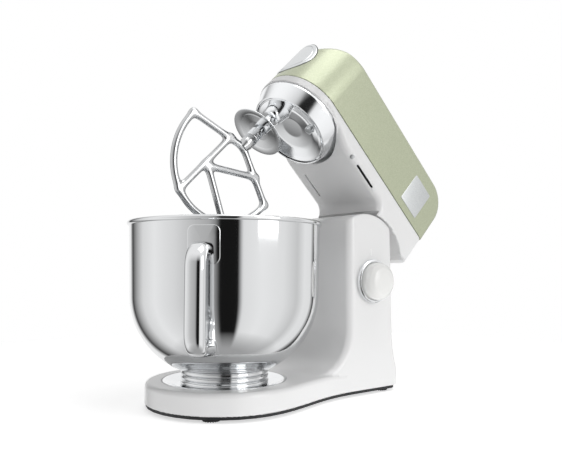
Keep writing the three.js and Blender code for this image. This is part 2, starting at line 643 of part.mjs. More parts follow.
function bowlHandle() {
  const reach = HANDLE_REACH - HANDLE_DEPTH / 2;
  const topCentre = [reach - HANDLE_BEND, HANDLE_TOP_Z - HANDLE_BEND];
  const lowCentre = [reach - HANDLE_BEND, HANDLE_BOTTOM_Z + HANDLE_BEND];
  const line = [
    [90, HANDLE_BOTTOM_Z - 4], [112, HANDLE_BOTTOM_Z - 1], ...arcPoints(lowCentre, HANDLE_BEND, -75, 0, 5),
    ...arcPoints(topCentre, HANDLE_BEND, 0, 80, 5), [122, HANDLE_TOP_Z], [104, HANDLE_TOP_Z],
  ];
  const points = line.map(([r, z]) => new THREE.Vector3(r, 0, z));
  const bar = sweptBar(points, HANDLE_DEPTH / 2, HANDLE_WIDTH / 2, { steps: 20, sides: 5 });
  const clear = bowlProfile(2 * GAP + PLATE_SKIN);
  const last = clear[clear.length - 1];
  const keepOut = turned([[0, clear[0][1]], ...clear, [last[0], 250], [0, 250]], { segments: 32 });
  return bar.subtract(keepOut).rotate(handleTurn);
}

add(stand, 'bowl_shell', bowlShell(), STEEL);
add(stand, 'bowl_foot', bowlFoot(), STEEL);
add(stand, 'bowl_handle', bowlHandle(), STEEL);
add(stand, 'handle_plate_upper', weldPlate(17, HANDLE_TOP_Z - 16, HANDLE_TOP_Z + 24), STEEL);
add(stand, 'handle_plate_lower', weldPlate(12, HANDLE_BOTTOM_Z - 12, HANDLE_BOTTOM_Z + 8), STEEL);

// ---- head shells ------------------------------------------------------------------------------------
/** Plan of the head with its half-round nose, drawn inward by `inset`. */
function headPlan(inset) {
  const radius = NOSE_RADIUS - inset;
  const shape = new THREE.Shape();
  shape.absarc(0, 0, radius, Math.PI, 2 * Math.PI);
  shape.lineTo(radius, HEAD_REAR + 50);
  shape.lineTo(-radius, HEAD_REAR + 50);
  return shape;
}

/** Side profile of the closed cover in (y, z), drawn inward by `inset`. */
function coverProfile(inset) {
  const front = -NOSE_RADIUS + inset;
  const rear = HEAD_REAR - inset;
  const top = HEAD_TOP - inset;
  const corner = HEAD_TOP_CORNER - inset;
  const shape = new THREE.Shape();
  shape.moveTo(front, SEAM_Z - 40);
  shape.lineTo(front, top - corner);
  shape.absarc(front + corner, top - corner, corner, Math.PI, Math.PI / 2, true);
  shape.absarc(rear - corner, top - corner, corner, Math.PI / 2, 0, true);
  shape.lineTo(rear, SEAM_Z - 40);
  return shape;
}

function coverBody(inset, bottom) {
  const half = BODY_HALF_WIDTH - inset;
  const round = Math.max(HEAD_EDGE_ROUND - inset, 1.5);
  const side = prism(coverProfile(inset), -half, half, { axis: 'x', round, curve: 5, steps: 2 });
  const plan = prism(headPlan(inset), bottom, HEAD_TOP + 20, { curve: 12 });
  return side.intersect(plan);
}

function headCover() {
  const shell = coverBody(0, SEAM_Z).subtract(coverBody(WALL, SEAM_Z - 10));
  const capHole = rod(NOSE_CAP_RADIUS - 4, -80, -20, { axis: 'y', at: [0, 0, OUTLET_AXIS_Z],
    segments: 24 });
  const badgeRecess = box([BODY_HALF_WIDTH - BADGE.depth, ...BADGE.low], [BODY_HALF_WIDTH + 1,
    ...BADGE.high]);
  return shell.subtract(capHole).subtract(badgeRecess);
}


/** Side profile of the lower casing, before the knuckle clearance is cut from it. */
function casingProfile(inset) {
  const floor = UNDERSIDE_Z + inset;
  const neck = COLUMN_FRONT + inset;
  const shape = new THREE.Shape();
  shape.moveTo(-NOSE_RADIUS - 20, HEAD_TOP);
  shape.lineTo(-NOSE_RADIUS - 20, floor);
  shape.lineTo(neck - NECK_FILLET, floor);
  shape.absarc(COLUMN_FRONT - NECK_FILLET, UNDERSIDE_Z - NECK_FILLET, NECK_FILLET + inset,
    Math.PI / 2, 0, true);
  shape.lineTo(neck, PIVOT_Z);
  shape.lineTo(HEAD_REAR - inset, PIVOT_Z);
  shape.lineTo(HEAD_REAR - inset, HEAD_TOP);
  return shape;
}

function casingBody(inset) {
  const half = BODY_HALF_WIDTH - inset;
  const side = prism(casingProfile(inset), -half, half,
    { axis: 'x', round: BODY_CORNER - inset, curve: 4, steps: 2 });
  return side.intersect(prism(headPlan(inset), PIVOT_Z, SEAM_Z - GAP + inset * 2, { curve: 12 }));
}

const archRadius = KNUCKLE_RADIUS + KNUCKLE_CLEARANCE;
const archDepth = 7; // the roof behind the side walls' lower edge
const casingScrewPlaces = [[50, 78], [-50, 78], [0, 206]];
const ventSlots = { x: 42, from: 76, to: 114, width: 2.6 };

function headLowerCasing() {
  const pivot = { axis: 'x', at: [0, PIVOT_Y, PIVOT_Z], segments: 36 };
  const inner = BODY_HALF_WIDTH - WALL;
  const roofOuter = rod(archRadius + archDepth + WALL, -100, 100, pivot);
  const tub = casingBody(WALL).intersect(box([-100, -200, UNDERSIDE_Z + WALL], [100,
    COLUMN_FRONT + WALL, 400])
    .add(box([-100, COLUMN_FRONT, REAR_LIP_Z + 4], [100, 400, 400]).subtract(roofOuter)));
  let body = casingBody(0).subtract(tub);
  body = body.subtract(rod(archRadius, -100, 100, pivot));
  body = body.subtract(rod(archRadius + archDepth, -inner, inner, pivot));
  body = body.subtract(box([-100, PIVOT_Y, 0], [100, 400, REAR_LIP_Z]));
  body = body.subtract(box([-100, -100, 0], [100, 0, NOSE_BAND_Z]));
  body = body.subtract(rod(OUTLET_BACK_RADIUS + 0.8, 0, NOSE_BAND_Z, { segments: 40 }));
  const roof = rod(OUTLET_BACK_RADIUS + 1.2, NOSE_BAND_Z, NOSE_BAND_Z + WALL, { segments: 40 })
    .intersect(casingBody(1));
  const collar = ring(OUTLET_BACK_RADIUS + 0.8, OUTLET_BACK_RADIUS + WALL, UNDERSIDE_Z,
    NOSE_BAND_Z + WALL, { segments: 40 })
    .intersect(casingBody(0.5)).subtract(box([-100, -100, 0], [100, 0, NOSE_BAND_Z]));
  body = body.add(roof).add(collar);
  body = body.subtract(rod(RING_OUTER + GAP, 0, 300, { segments: 40 }));
  for (const side of [-1, 1]) {
    const [a, b] = [side * (ARM_INNER_X - GAP), side * (ARM_INNER_X + ARM_THICKNESS + GAP)].sort((p,
      q) => p - q);
    const halfDepth = ARM_HALF_DEPTH + GAP;
    body = body.subtract(box([a, PIVOT_Y - halfDepth, PIVOT_Z], [b, PIVOT_Y + halfDepth, SEAM_Z]));
    const slot = roundedRectangle([side * ventSlots.x - ventSlots.width / 2, ventSlots.from],
      [side * ventSlots.x + ventSlots.width / 2, ventSlots.to], ventSlots.width / 2 - 0.01);
    body = body.subtract(prism(slot, 0, UNDERSIDE_Z + WALL + 1, { curve: 3 }));
  }
  for (const [x, y] of casingScrewPlaces) {
    const roofHere = PIVOT_Z + Math.sqrt(Math.max((archRadius + archDepth) ** 2 - (y - PIVOT_Y) ** 2, 0));
    const foot = y > COLUMN_FRONT ? roofHere + WALL / 2 : UNDERSIDE_Z + WALL / 2;
    body = body.add(rod(5, foot, CHASSIS_Z - GAP, { at: [x, y, 0], segments: 8 }));
    body = body.subtract(rod(2, CHASSIS_Z - 11, 300, { at: [x, y, 0], segments: 8 }));
  }
  return body;
}


add(head, 'head_lower_casing', headLowerCasing(), PAINT);
add(head, 'head_cover', headCover(), GREEN);

// round cap on the nose, following the nose cylinder
function noseCap() {
  const shell = ring(NOSE_RADIUS + GAP, NOSE_RADIUS + GAP + 1.6, SEAM_Z, HEAD_TOP, { segments: 36 });
  const disc = rod(NOSE_CAP_RADIUS, -90, -20, { axis: 'y', at: [0, 0, OUTLET_AXIS_Z], segments: 24 });
  const face = shell.intersect(disc);
  const place = { axis: 'y', at: [0, 0, OUTLET_AXIS_Z], segments: 24 };
  const sleeve = [NOSE_CAP_RADIUS - 7, NOSE_CAP_RADIUS - 4.6];
  const plug = ring(...sleeve, 0.9 - NOSE_RADIUS, 14.9 - NOSE_RADIUS, place);
  const bridge = ring(...sleeve, -3.1 - NOSE_RADIUS, 7.9 - NOSE_RADIUS, place)
    .intersect(rod(NOSE_RADIUS + GAP + 1, SEAM_Z, HEAD_TOP, { segments: 36 }));
  return face.add(plug).add(bridge);
}
add(head, 'nose_cap', noseCap(), CHROME);

const badgePlan = roundedRectangle([BADGE.low[0] + GAP, BADGE.low[1] + GAP], [BADGE.high[0] - GAP,
  BADGE.high[1] - GAP], 1.5);
add(head, 'side_badge', prism(badgePlan, BODY_HALF_WIDTH - BADGE.depth + GAP, BODY_HALF_WIDTH + 0.5,
  { axis: 'x', curve: 2 }), ALUMINIUM);

// ---- head chassis and planetary drive ---------------------------------------------------------------
const chassisTop = CHASSIS_Z + CHASSIS_THICKNESS;

/** One arm of the chassis that reaches down to the hinge pin, with the two notches the latch falls in. */
function hingeArm(side) {
  const hub = new THREE.Shape();
  hub.absarc(PIVOT_Y, PIVOT_Z, ARM_HUB_RADIUS, 0, 2 * Math.PI);
  const [a, b] = [side * ARM_INNER_X, side * (ARM_INNER_X + ARM_THICKNESS)].sort((p, q) => p - q);
  const bar = box([a, PIVOT_Y - ARM_HALF_DEPTH, PIVOT_Z], [b, PIVOT_Y + ARM_HALF_DEPTH, CHASSIS_Z + 1]);
  let arm = prism(hub, a, b, { axis: 'x', curve: 10 }).add(bar);
  for (const angle of [0, HEAD_RAISED]) {
    const notch = box([a - 1, -3, -ARM_HUB_RADIUS - 5], [b + 1, 3, 5 - ARM_HUB_RADIUS])
      .rotate([angle, 0, 0]).translate([0, PIVOT_Y, PIVOT_Z]);
    arm = arm.subtract(notch);
  }
  return arm.subtract(rod(HINGE_PIN_RADIUS + GAP, a - 1, b + 1, hinge));
}

function headChassis() {
  const plan = new THREE.Shape();
  plan.absarc(0, 0, CHASSIS_HALF_WIDTH, Math.PI, 2 * Math.PI);
  plan.lineTo(CHASSIS_HALF_WIDTH, CHASSIS_REAR);
  plan.lineTo(-CHASSIS_HALF_WIDTH, CHASSIS_REAR);
  let plate = prism(plan, CHASSIS_Z, chassisTop, { curve: 8 });
  plate = plate.add(rod(22, CHASSIS_Z, PULLEY_Z - 1, { segments: 32 }));
  plate = plate.subtract(rod(BEARING_OUTER + BEARING_FIT, CHASSIS_Z + 1, 300, { segments: 28 }));
  plate = plate.subtract(rod(HUB_SHAFT_RADIUS + 2, 0, 300, { segments: 24 }));
  plate = plate.subtract(rod(30, 0, 300, { at: [0, MOTOR_Y, 0], segments: 24 }));
  for (const [x, y] of casingScrewPlaces) {
    plate = plate.subtract(rod(2.2, 0, 300, { at: [x, y, 0], segments: 8 }));
  }
  return plate.add(hingeArm(-1)).add(hingeArm(1));
}
add(head, 'head_chassis', headChassis(), ALUMINIUM);
casingScrewPlaces.forEach(([x, y], i) => {
  const body = screw(chassisTop + GAP, -14, { at: [x, y, 0] });
  add(head, `chassis_screw_${i + 1}`, body, DARK_STEEL);
});

function outletRing() {
  const back = NOSE_BAND_Z - GAP;
  const ringBody = turned([
    [OUTLET_FRONT_RADIUS - OUTLET_WALL, OUTLET_FRONT_Z + 0.6], [OUTLET_FRONT_RADIUS - 1, OUTLET_FRONT_Z],
    [OUTLET_FRONT_RADIUS, OUTLET_FRONT_Z + 0.8], [OUTLET_BACK_RADIUS, back - 3], [OUTLET_BACK_RADIUS, back],
    [OUTLET_BACK_RADIUS - 6, back], [OUTLET_BACK_RADIUS - 6, back - 1.6],
      [OUTLET_BACK_RADIUS - OUTLET_WALL, back - 4],
    [OUTLET_FRONT_RADIUS - OUTLET_WALL, OUTLET_FRONT_Z + 0.6],
  ], { segments: 32 });
  const notch = box([OUTLET_BACK_RADIUS - 4, -7, back - 5], [OUTLET_BACK_RADIUS + 4, 7,
    back - 2]).rotate([0, 0, NOTCH_ANGLE]);
  return ringBody.subtract(notch);
}
add(head, 'outlet_ring', outletRing(), CHROME);

function ringGear() {
  const rim = rod(RING_OUTER, GEAR_Z, CHASSIS_Z - GAP, { segments: 32 });
  return rim.subtract(gear(RING_TEETH, GEAR_Z - 1, CHASSIS_Z + 1, { tip: 1.1, root: 0.8,
    play: GEAR_PLAY }));
}
add(head, 'ring_gear', ringGear(), DARK_STEEL);

function planetHub() {
  const dish = turned([
    [0, 240], [15, 240.5], [32, 238.6], [44, 234.6], [DISH_RADIUS - 1.5, DISH_RIM_Z], [DISH_RADIUS,
      DISH_RIM_Z + 0.6],
    [DISH_RADIUS, 236], [44, 242], [30, 245.5], [HUB_SHAFT_RADIUS, 245.5], [HUB_SHAFT_RADIUS, BEVEL_Z],
    [BEVEL_RADIUS + 2, BEVEL_Z], [BEVEL_RADIUS - 2, BEVEL_Z + 5], [0, BEVEL_Z + 5],
  ], { segments: 28 });
  const place = { at: [0, -TOOL_OFFSET, 0], segments: 20 };
  const boss = turned([[0, 220], [11, 220], [12.5, 222], [16, 240], [16, 245.5], [0, 245.5]], place);
  const bore = rod(SPINDLE_RADIUS + GAP, 0, 300, place);
  const screwHole = rod(2, HUB_SCREW_Z - 1, HUB_SCREW_Z + 5.6, { at: [HUB_SCREW_X, HUB_SCREW_Y, 0],
    segments: 8 });
  return dish.add(boss).subtract(bore).subtract(screwHole);
}
add(head, 'planet_hub', planetHub(), CHROME);
const hubScrew = screw(HUB_SCREW_Z, 5, { at: [HUB_SCREW_X, HUB_SCREW_Y, 0], headRadius: 5.5,
  headHeight: 2.6 });
add(head, 'hub_screw', hubScrew, STEEL);

const seatRing = (z) => ring(HUB_SHAFT_RADIUS + GAP, BEARING_OUTER, z, z + BEARING_HEIGHT,
  { segments: 28 });
const lowerBearingZ = CHASSIS_Z + 1 + 0.05;
const upperBearingZ = 283;
add(head, 'hub_bearing_lower', seatRing(lowerBearingZ), DARK_STEEL);
add(head, 'hub_bearing_upper', seatRing(upperBearingZ), DARK_STEEL);

function bearingBridge() {
  const low = chassisTop + GAP;
  const top = upperBearingZ + BEARING_HEIGHT;
  let body = box([-52, -14, upperBearingZ - 1], [52, 14, upperBearingZ + 3]).add(rod(21,
    upperBearingZ - 1, top, { segments: 28 }));
  for (const side of [-1, 1]) {
    const [a, b] = [side * 48, side * 52].sort((p, q) => p - q);
    body = body.add(box([a, -14, low], [b, 14, upperBearingZ + 3]));
  }
  body = body.subtract(rod(BEARING_OUTER + BEARING_FIT, upperBearingZ, 400, { segments: 28 }));
  return body.subtract(rod(HUB_SHAFT_RADIUS + 2, 0, 400, { segments: 24 }));
}
add(head, 'bearing_bridge', bearingBridge(), ALUMINIUM);

// pulleys and belt
const grooveDepth = 0.8;
function pulley(radius, bore, at) {
  const top = PULLEY_Z + PULLEY_HEIGHT;
  return turned([
    [bore, PULLEY_Z], [radius + 1.5, PULLEY_Z], [radius + 1.5, PULLEY_Z + 1], [radius - grooveDepth,
      PULLEY_Z + 1],
    [radius - grooveDepth, top - 1], [radius + 1.5, top - 1], [radius + 1.5, top], [bore, top], [bore,
      PULLEY_Z],
  ], { at, segments: 24 });
}
add(head, 'large_pulley', pulley(LARGE_PULLEY_RADIUS, HUB_SHAFT_RADIUS + GAP, [0, 0, 0]), NYLON);
add(head, 'small_pulley', pulley(SMALL_PULLEY_RADIUS, MOTOR_SHAFT_RADIUS + GAP, [0, MOTOR_Y, 0]), NYLON);

/** Outline of a belt round both pulleys, `offset` outside their grooves. */
function beltOutline(offset) {
  const big = LARGE_PULLEY_RADIUS + offset;
  const small = SMALL_PULLEY_RADIUS + offset;
  const lean = Math.asin((big - small) / MOTOR_Y);
  const shape = new THREE.Shape();
  shape.absarc(0, 0, big, Math.PI - lean, 2 * Math.PI + lean);
  shape.absarc(0, MOTOR_Y, small, lean, Math.PI - lean);
  shape.closePath();
  return shape;
}
const belt = prism(beltOutline(BELT_THICKNESS), PULLEY_Z + 2, PULLEY_Z + PULLEY_HEIGHT - 2, { curve: 10 })
  .subtract(prism(beltOutline(0), PULLEY_Z, PULLEY_Z + PULLEY_HEIGHT, { curve: 10 }));
add(head, 'drive_belt', belt, RUBBER);

// motor
const motor = { at: [0, MOTOR_Y, 0] };
const statorTop = STATOR_Z + STATOR_HEIGHT;
const stator = prism(roundedRectangle([-MOTOR_HALF, MOTOR_Y - MOTOR_HALF], [MOTOR_HALF,
  MOTOR_Y + MOTOR_HALF], 8),
  STATOR_Z, statorTop, { curve: 4 }).subtract(rod(ROTOR_RADIUS + 1, 0, 400, { ...motor, segments: 28 }));
add(head, 'motor_stator', stator, DARK_STEEL);

function motorFrame(plateZ, towards) {
  let body = box([-MOTOR_HALF, MOTOR_Y - 10, plateZ], [MOTOR_HALF, MOTOR_Y + 10, plateZ + 3]);
  const [low, high] = [Math.min(plateZ, towards), Math.max(plateZ + 3, towards)];
  for (const side of [-1, 1]) {
    const [a, b] = [side * (MOTOR_HALF - 2), side * (MOTOR_HALF + 4)].sort((p, q) => p - q);
    body = body.add(box([a, MOTOR_Y - 10, low], [b, MOTOR_Y + 10, high]));
  }
  return body.subtract(rod(MOTOR_SHAFT_RADIUS + 0.6, 0, 400, motor));
}
add(head, 'motor_frame_lower', motorFrame(STATOR_Z - 3 - GAP, chassisTop + GAP), ALUMINIUM);
add(head, 'motor_frame_upper', motorFrame(323, statorTop + GAP), ALUMINIUM);

const rotor = rod(ROTOR_RADIUS, STATOR_Z + 1, statorTop - 1, { ...motor, segments: 24 })
  .add(rod(MOTOR_SHAFT_RADIUS, PULLEY_Z - 1, 336, { ...motor, segments: 16 }));
add(head, 'motor_rotor', rotor, DARK_STEEL);
add(head, 'commutator', ring(MOTOR_SHAFT_RADIUS + GAP, 10, statorTop, statorTop + 8, { ...motor,
  segments: 24 }), COPPER);
for (const [side, name] of [[-1, 'left'], [1, 'right']]) {
  const [a, b] = [side * 10.6, side * 28].sort((p, q) => p - q);
  add(head, `brush_holder_${name}`, box([a, MOTOR_Y - 5, statorTop + 1.5], [b, MOTOR_Y + 5,
    statorTop + 8.5]), BRONZE);
}

function motorFan() {
  const hubBody = ring(MOTOR_SHAFT_RADIUS + GAP, 28, 327, 328.4, { ...motor, segments: 28 });
  const collar = ring(MOTOR_SHAFT_RADIUS + GAP, 8, 327, 335, { ...motor, segments: 28 });
  const blade = box([7, MOTOR_Y - 0.8, 328], [27, MOTOR_Y + 0.8, 334]);
  return union([hubBody, collar, around(blade, 9, [0, MOTOR_Y])]);
}
add(head, 'motor_fan', motorFan(), BLACK_PLASTIC);

// front outlet: bevel pair, spindle and socket
const outlet = { axis: 'y', at: [0, 0, OUTLET_AXIS_Z] };
add(head, 'outlet_spindle', union([
  rod(6, -46, -18, { ...outlet, segments: 6 }),
  turned([[0, -18], [9, -18], [BEVEL_RADIUS, -14.5], [0, -14.5]], { ...outlet, segments: 24 }),
]), DARK_STEEL);
function outletSocket() {
  const tube = ring(13, 16, -45, -20, { ...outlet, segments: 28 });
  const flange = ring(13, NOSE_CAP_RADIUS - 8, -45, -42, { ...outlet, segments: 28 });
  const post = box([-8, -44, 305 - 14], [8, -24, 300]).subtract(rod(14.5, -100, 0, outlet));
  return union([tube, flange, post]);
}
add(head, 'outlet_socket', outletSocket(), ALUMINIUM);

// ---- tool -------------------------------------------------------------------------------------------
const tool = { at: [0, -TOOL_OFFSET, 0] };
const neckRadius = SPINDLE_RADIUS - 1; // where the drip disc is clamped

/** The planet shaft, whose lower end is the slotted socket that takes the tools. */
function toolSpindle() {
  const shaft = turned([
    [0, DRIP_DISC_Z - 5], [5.5, DRIP_DISC_Z - 5], [5.5, SOCKET_BOTTOM_Z + GAP], [SOCKET_RADIUS,
      SOCKET_BOTTOM_Z + GAP],
    [SOCKET_RADIUS, DRIP_DISC_Z - 1.4], [neckRadius, DRIP_DISC_Z - 1.4], [neckRadius, DRIP_DISC_Z + 1.6],
    [SPINDLE_RADIUS, DRIP_DISC_Z + 1.6], [SPINDLE_RADIUS, CHASSIS_Z - 1], [0, CHASSIS_Z - 1],
  ], { ...tool, segments: 20 });
  const slot = box([-20, -TOOL_OFFSET - 2.5, 0], [20, -TOOL_OFFSET + 2.5, SOCKET_BOTTOM_Z + 9]);
  return shaft.subtract(slot);
}
add(head, 'tool_spindle', toolSpindle(), CHROME);
add(head, 'planet_pinion', gear(PINION_TEETH, GEAR_Z, GEAR_Z + GEAR_HEIGHT, { play: -GEAR_PLAY,
  at: [0, -TOOL_OFFSET] })
  .subtract(rod(SPINDLE_RADIUS + GAP, 0, 400, { ...tool, segments: 20 })), NYLON);
add(head, 'drip_disc', turned([
  [neckRadius + GAP, DRIP_DISC_Z], [DRIP_DISC_RADIUS, DRIP_DISC_Z - 1], [DRIP_DISC_RADIUS, DRIP_DISC_Z],
  [neckRadius + GAP, DRIP_DISC_Z + 1.2], [neckRadius + GAP, DRIP_DISC_Z],
], { ...tool, segments: 28 }), CHROME);

function beaterShank() {
  const shank = turned([
    [0, SHANK_BOTTOM_Z], [SOCKET_RADIUS, SHANK_BOTTOM_Z], [SOCKET_RADIUS, SOCKET_BOTTOM_Z], [5,
      SOCKET_BOTTOM_Z],
    [5, DRIP_DISC_Z - 5.5], [0, DRIP_DISC_Z - 5.5],
  ], { ...tool, segments: 24 });
  const pin = rod(2, -12, 12, { axis: 'x', at: [0, -TOOL_OFFSET, SOCKET_BOTTOM_Z + 6], segments: 10 });
  return shank.add(pin);
}
add(head, 'beater_shank', beaterShank(), STEEL);

/** The K-shaped beater, drawn in the plane x = 0 as bars between (y, z) points. */
function kBeater() {
  const centre = -TOOL_OFFSET;
  const top = SHANK_BOTTOM_Z - GAP - BEATER_BAR;
  const frontCorner = [centre - BEATER_HALF_WIDTH, BEATER_CORNER_Z];
  const rearCorner = [centre + BEATER_HALF_WIDTH, BEATER_CORNER_Z];
  const spineY = centre - 20;
  const joint = [spineY + 5, 105.2];
  const arc = [];
  for (const share of [-1, -0.86, -0.5, 0, 0.5, 0.86, 1]) {
    const drop = Math.sqrt(1 - share ** 2);
    arc.push([centre + BEATER_HALF_WIDTH * share,
      BEATER_CORNER_Z - (BEATER_CORNER_Z - BEATER_BOTTOM_Z) * drop]);
  }
  const bars = [[[centre, top], frontCorner], [[centre, top], rearCorner]];
  for (let i = 1; i < arc.length; i += 1) bars.push([arc[i - 1], arc[i]]);
  bars.push([[spineY, 155], [spineY, BEATER_BOTTOM_Z + 3]]);
  bars.push([joint, [centre + 39, 148.5]]);
  bars.push([joint, [centre + 46, 74]]);
  return union(bars.map(([from, to]) => beaterBar(from, to)));
}

/** One straight bar of the beater with an six-sided section and round ends. */
function beaterBar([y0, z0], [y1, z1]) {
  const length = Math.hypot(y1 - y0, z1 - z0);
  const bar = new THREE.CylinderGeometry(BEATER_BAR, BEATER_BAR, length, 6);
  bar.rotateX(Math.atan2(z1 - z0, y1 - y0));
  bar.translate(0, (y0 + y1) / 2, (z0 + z1) / 2);
  const end = new THREE.SphereGeometry(BEATER_BAR, 6, 3);
  end.translate(0, y1, z1);
  return solid(bar).add(solid(end));
}
add(head, 'k_beater', kBeater(), STEEL);

// ---- rest pose and origin ---------------------------------------------------------------------------
const pivotPoint = new THREE.Vector3(0, PIVOT_Y, PIVOT_Z);
head.rotation.x = -radians(HEAD_RAISED);
head.position.copy(pivotPoint).sub(pivotPoint.clone().applyEuler(head.rotation));

const bounds = new THREE.Box3().setFromObject(root, true);
const middle = bounds.getCenter(new THREE.Vector3());
root.position.set(-middle.x, -middle.y, -bounds.min.z);
root.updateMatrixWorld(true);

export default root;
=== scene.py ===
"""Tilt-head stand mixer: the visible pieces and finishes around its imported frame.

Lengths are in millimetres in the builder's own frame, whose Z axis is the bowl's axis and whose floor is z = 0.
Pieces of the head are drawn with the head closed and turned back about the hinge pin.
"""

import json
import logging
import math
from dataclasses import dataclass
from enum import Enum
from typing import Callable, Sequence

import bmesh
import bpy
import numpy as np
from mathutils import Matrix, Vector


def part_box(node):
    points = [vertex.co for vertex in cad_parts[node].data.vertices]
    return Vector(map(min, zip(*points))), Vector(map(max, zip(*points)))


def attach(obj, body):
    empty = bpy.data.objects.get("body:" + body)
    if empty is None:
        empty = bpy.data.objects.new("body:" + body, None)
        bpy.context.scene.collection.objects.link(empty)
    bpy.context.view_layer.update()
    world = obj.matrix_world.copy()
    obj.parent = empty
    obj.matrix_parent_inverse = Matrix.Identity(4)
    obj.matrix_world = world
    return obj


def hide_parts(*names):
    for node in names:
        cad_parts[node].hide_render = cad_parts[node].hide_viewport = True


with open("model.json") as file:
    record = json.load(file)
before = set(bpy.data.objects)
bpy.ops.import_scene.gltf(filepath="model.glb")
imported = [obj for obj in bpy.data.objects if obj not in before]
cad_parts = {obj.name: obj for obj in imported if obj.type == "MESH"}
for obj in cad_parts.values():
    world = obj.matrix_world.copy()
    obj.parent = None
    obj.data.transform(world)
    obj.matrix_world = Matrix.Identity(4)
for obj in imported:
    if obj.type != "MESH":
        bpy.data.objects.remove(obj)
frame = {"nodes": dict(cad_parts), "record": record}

logging.basicConfig(level=logging.INFO, format="%(message)s")
LOG = logging.getLogger("mixer")

Array = np.ndarray
Field = Callable[[Array, Array, Array], Array]
Profile = Sequence[tuple[float, ...]]
Line = list[tuple[float, float]]
Part = tuple[Array, Sequence[Sequence[int]]]

MM = 0.001
HEAD_RAISED = 45.0
HALF_WIDTH = 62.7
SEAM_Z = 266.4
UNDERSIDE_Z = 242.9
WALL = 3.2
GAP = 0.3
WELD = 0.005
TOOL_Y = -30.0
MIX_A, MIX_B, MIX_RESULT = 6, 7, 2  # a colour mix node's own socket numbers


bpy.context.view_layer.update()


def middle(node: str) -> Vector:
    """The middle of a CAD node's box, in metres."""
    low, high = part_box(node)
    return (low + high) / 2


AXIS_Y = middle("bowl_shell").y
PIVOT = middle("hinge_pin") - Vector((0, AXIS_Y, 0))
PIVOT_Y = PIVOT.y / MM
PIVOT_Z = PIVOT.z / MM


class Place(Enum):
    """The frame that a piece's points are drawn in."""

    STAND = "stand"
    HEAD = "head"


def settle(points: Array, place: Place) -> Array:
    """Moves points from the drawing frame to the row frame.

    Args:
        points: rows of x, y, z in millimetres.
        place: the frame they are drawn in.

    Returns:
        The same rows in metres, where the piece stands at rest.
    """
    out = np.array(points, float)
    if place is Place.HEAD:
        turn = -math.radians(HEAD_RAISED)
        y, z = out[:, 1] - PIVOT_Y, out[:, 2] - PIVOT_Z
        out[:, 1] = PIVOT_Y + y * math.cos(turn) - z * math.sin(turn)
        out[:, 2] = PIVOT_Z + y * math.sin(turn) + z * math.cos(turn)
    out *= MM
    out[:, 1] += AXIS_Y
    return out


# ---- finishes ----------------------------------------------------------------------------------------------


def linear(colour: str) -> tuple[float, float, float, float]:
    """An sRGB hex colour made linear.

    Args:
        colour: a hash sign and six hex digits.

    Returns:
        Linear red, green, blue and alpha.
    """
    parts = [int(colour[i : i + 2], 16) / 255 for i in (1, 3, 5)]
    lin = [p / 12.92 if p <= 0.04045 else ((p + 0.055) / 1.055) ** 2.4 for p in parts]
    return (*lin, 1.0)


def add_node(
    tree: bpy.types.NodeTree, kind: str, values: dict | None = None, links: dict | None = None, **settings: object
) -> bpy.types.Node:
    """Adds a node to a tree.

    Args:
        tree: the node tree.
        kind: the node's type name.
        values: input values, by the input's name or number.
        links: output sockets to join, by the input's name or number.
        settings: the node's own properties.

    Returns:
        The new node.
    """
    node = tree.nodes.new(kind)
    for key, value in settings.items():
        setattr(node, key, value)
    for key, value in (values or {}).items():
        node.inputs[key].default_value = value
    for key, socket in (links or {}).items():
        tree.links.new(socket, node.inputs[key])
    return node


class Grain(Enum):
    """How a surface was made, which decides the pattern in it."""

    PEEL = "sprayed paint"
    FLAKE = "metallic paint"
    POLISHED = "polished metal"
    BRUSHED = "brushed metal"
    CAST = "cast or moulded"


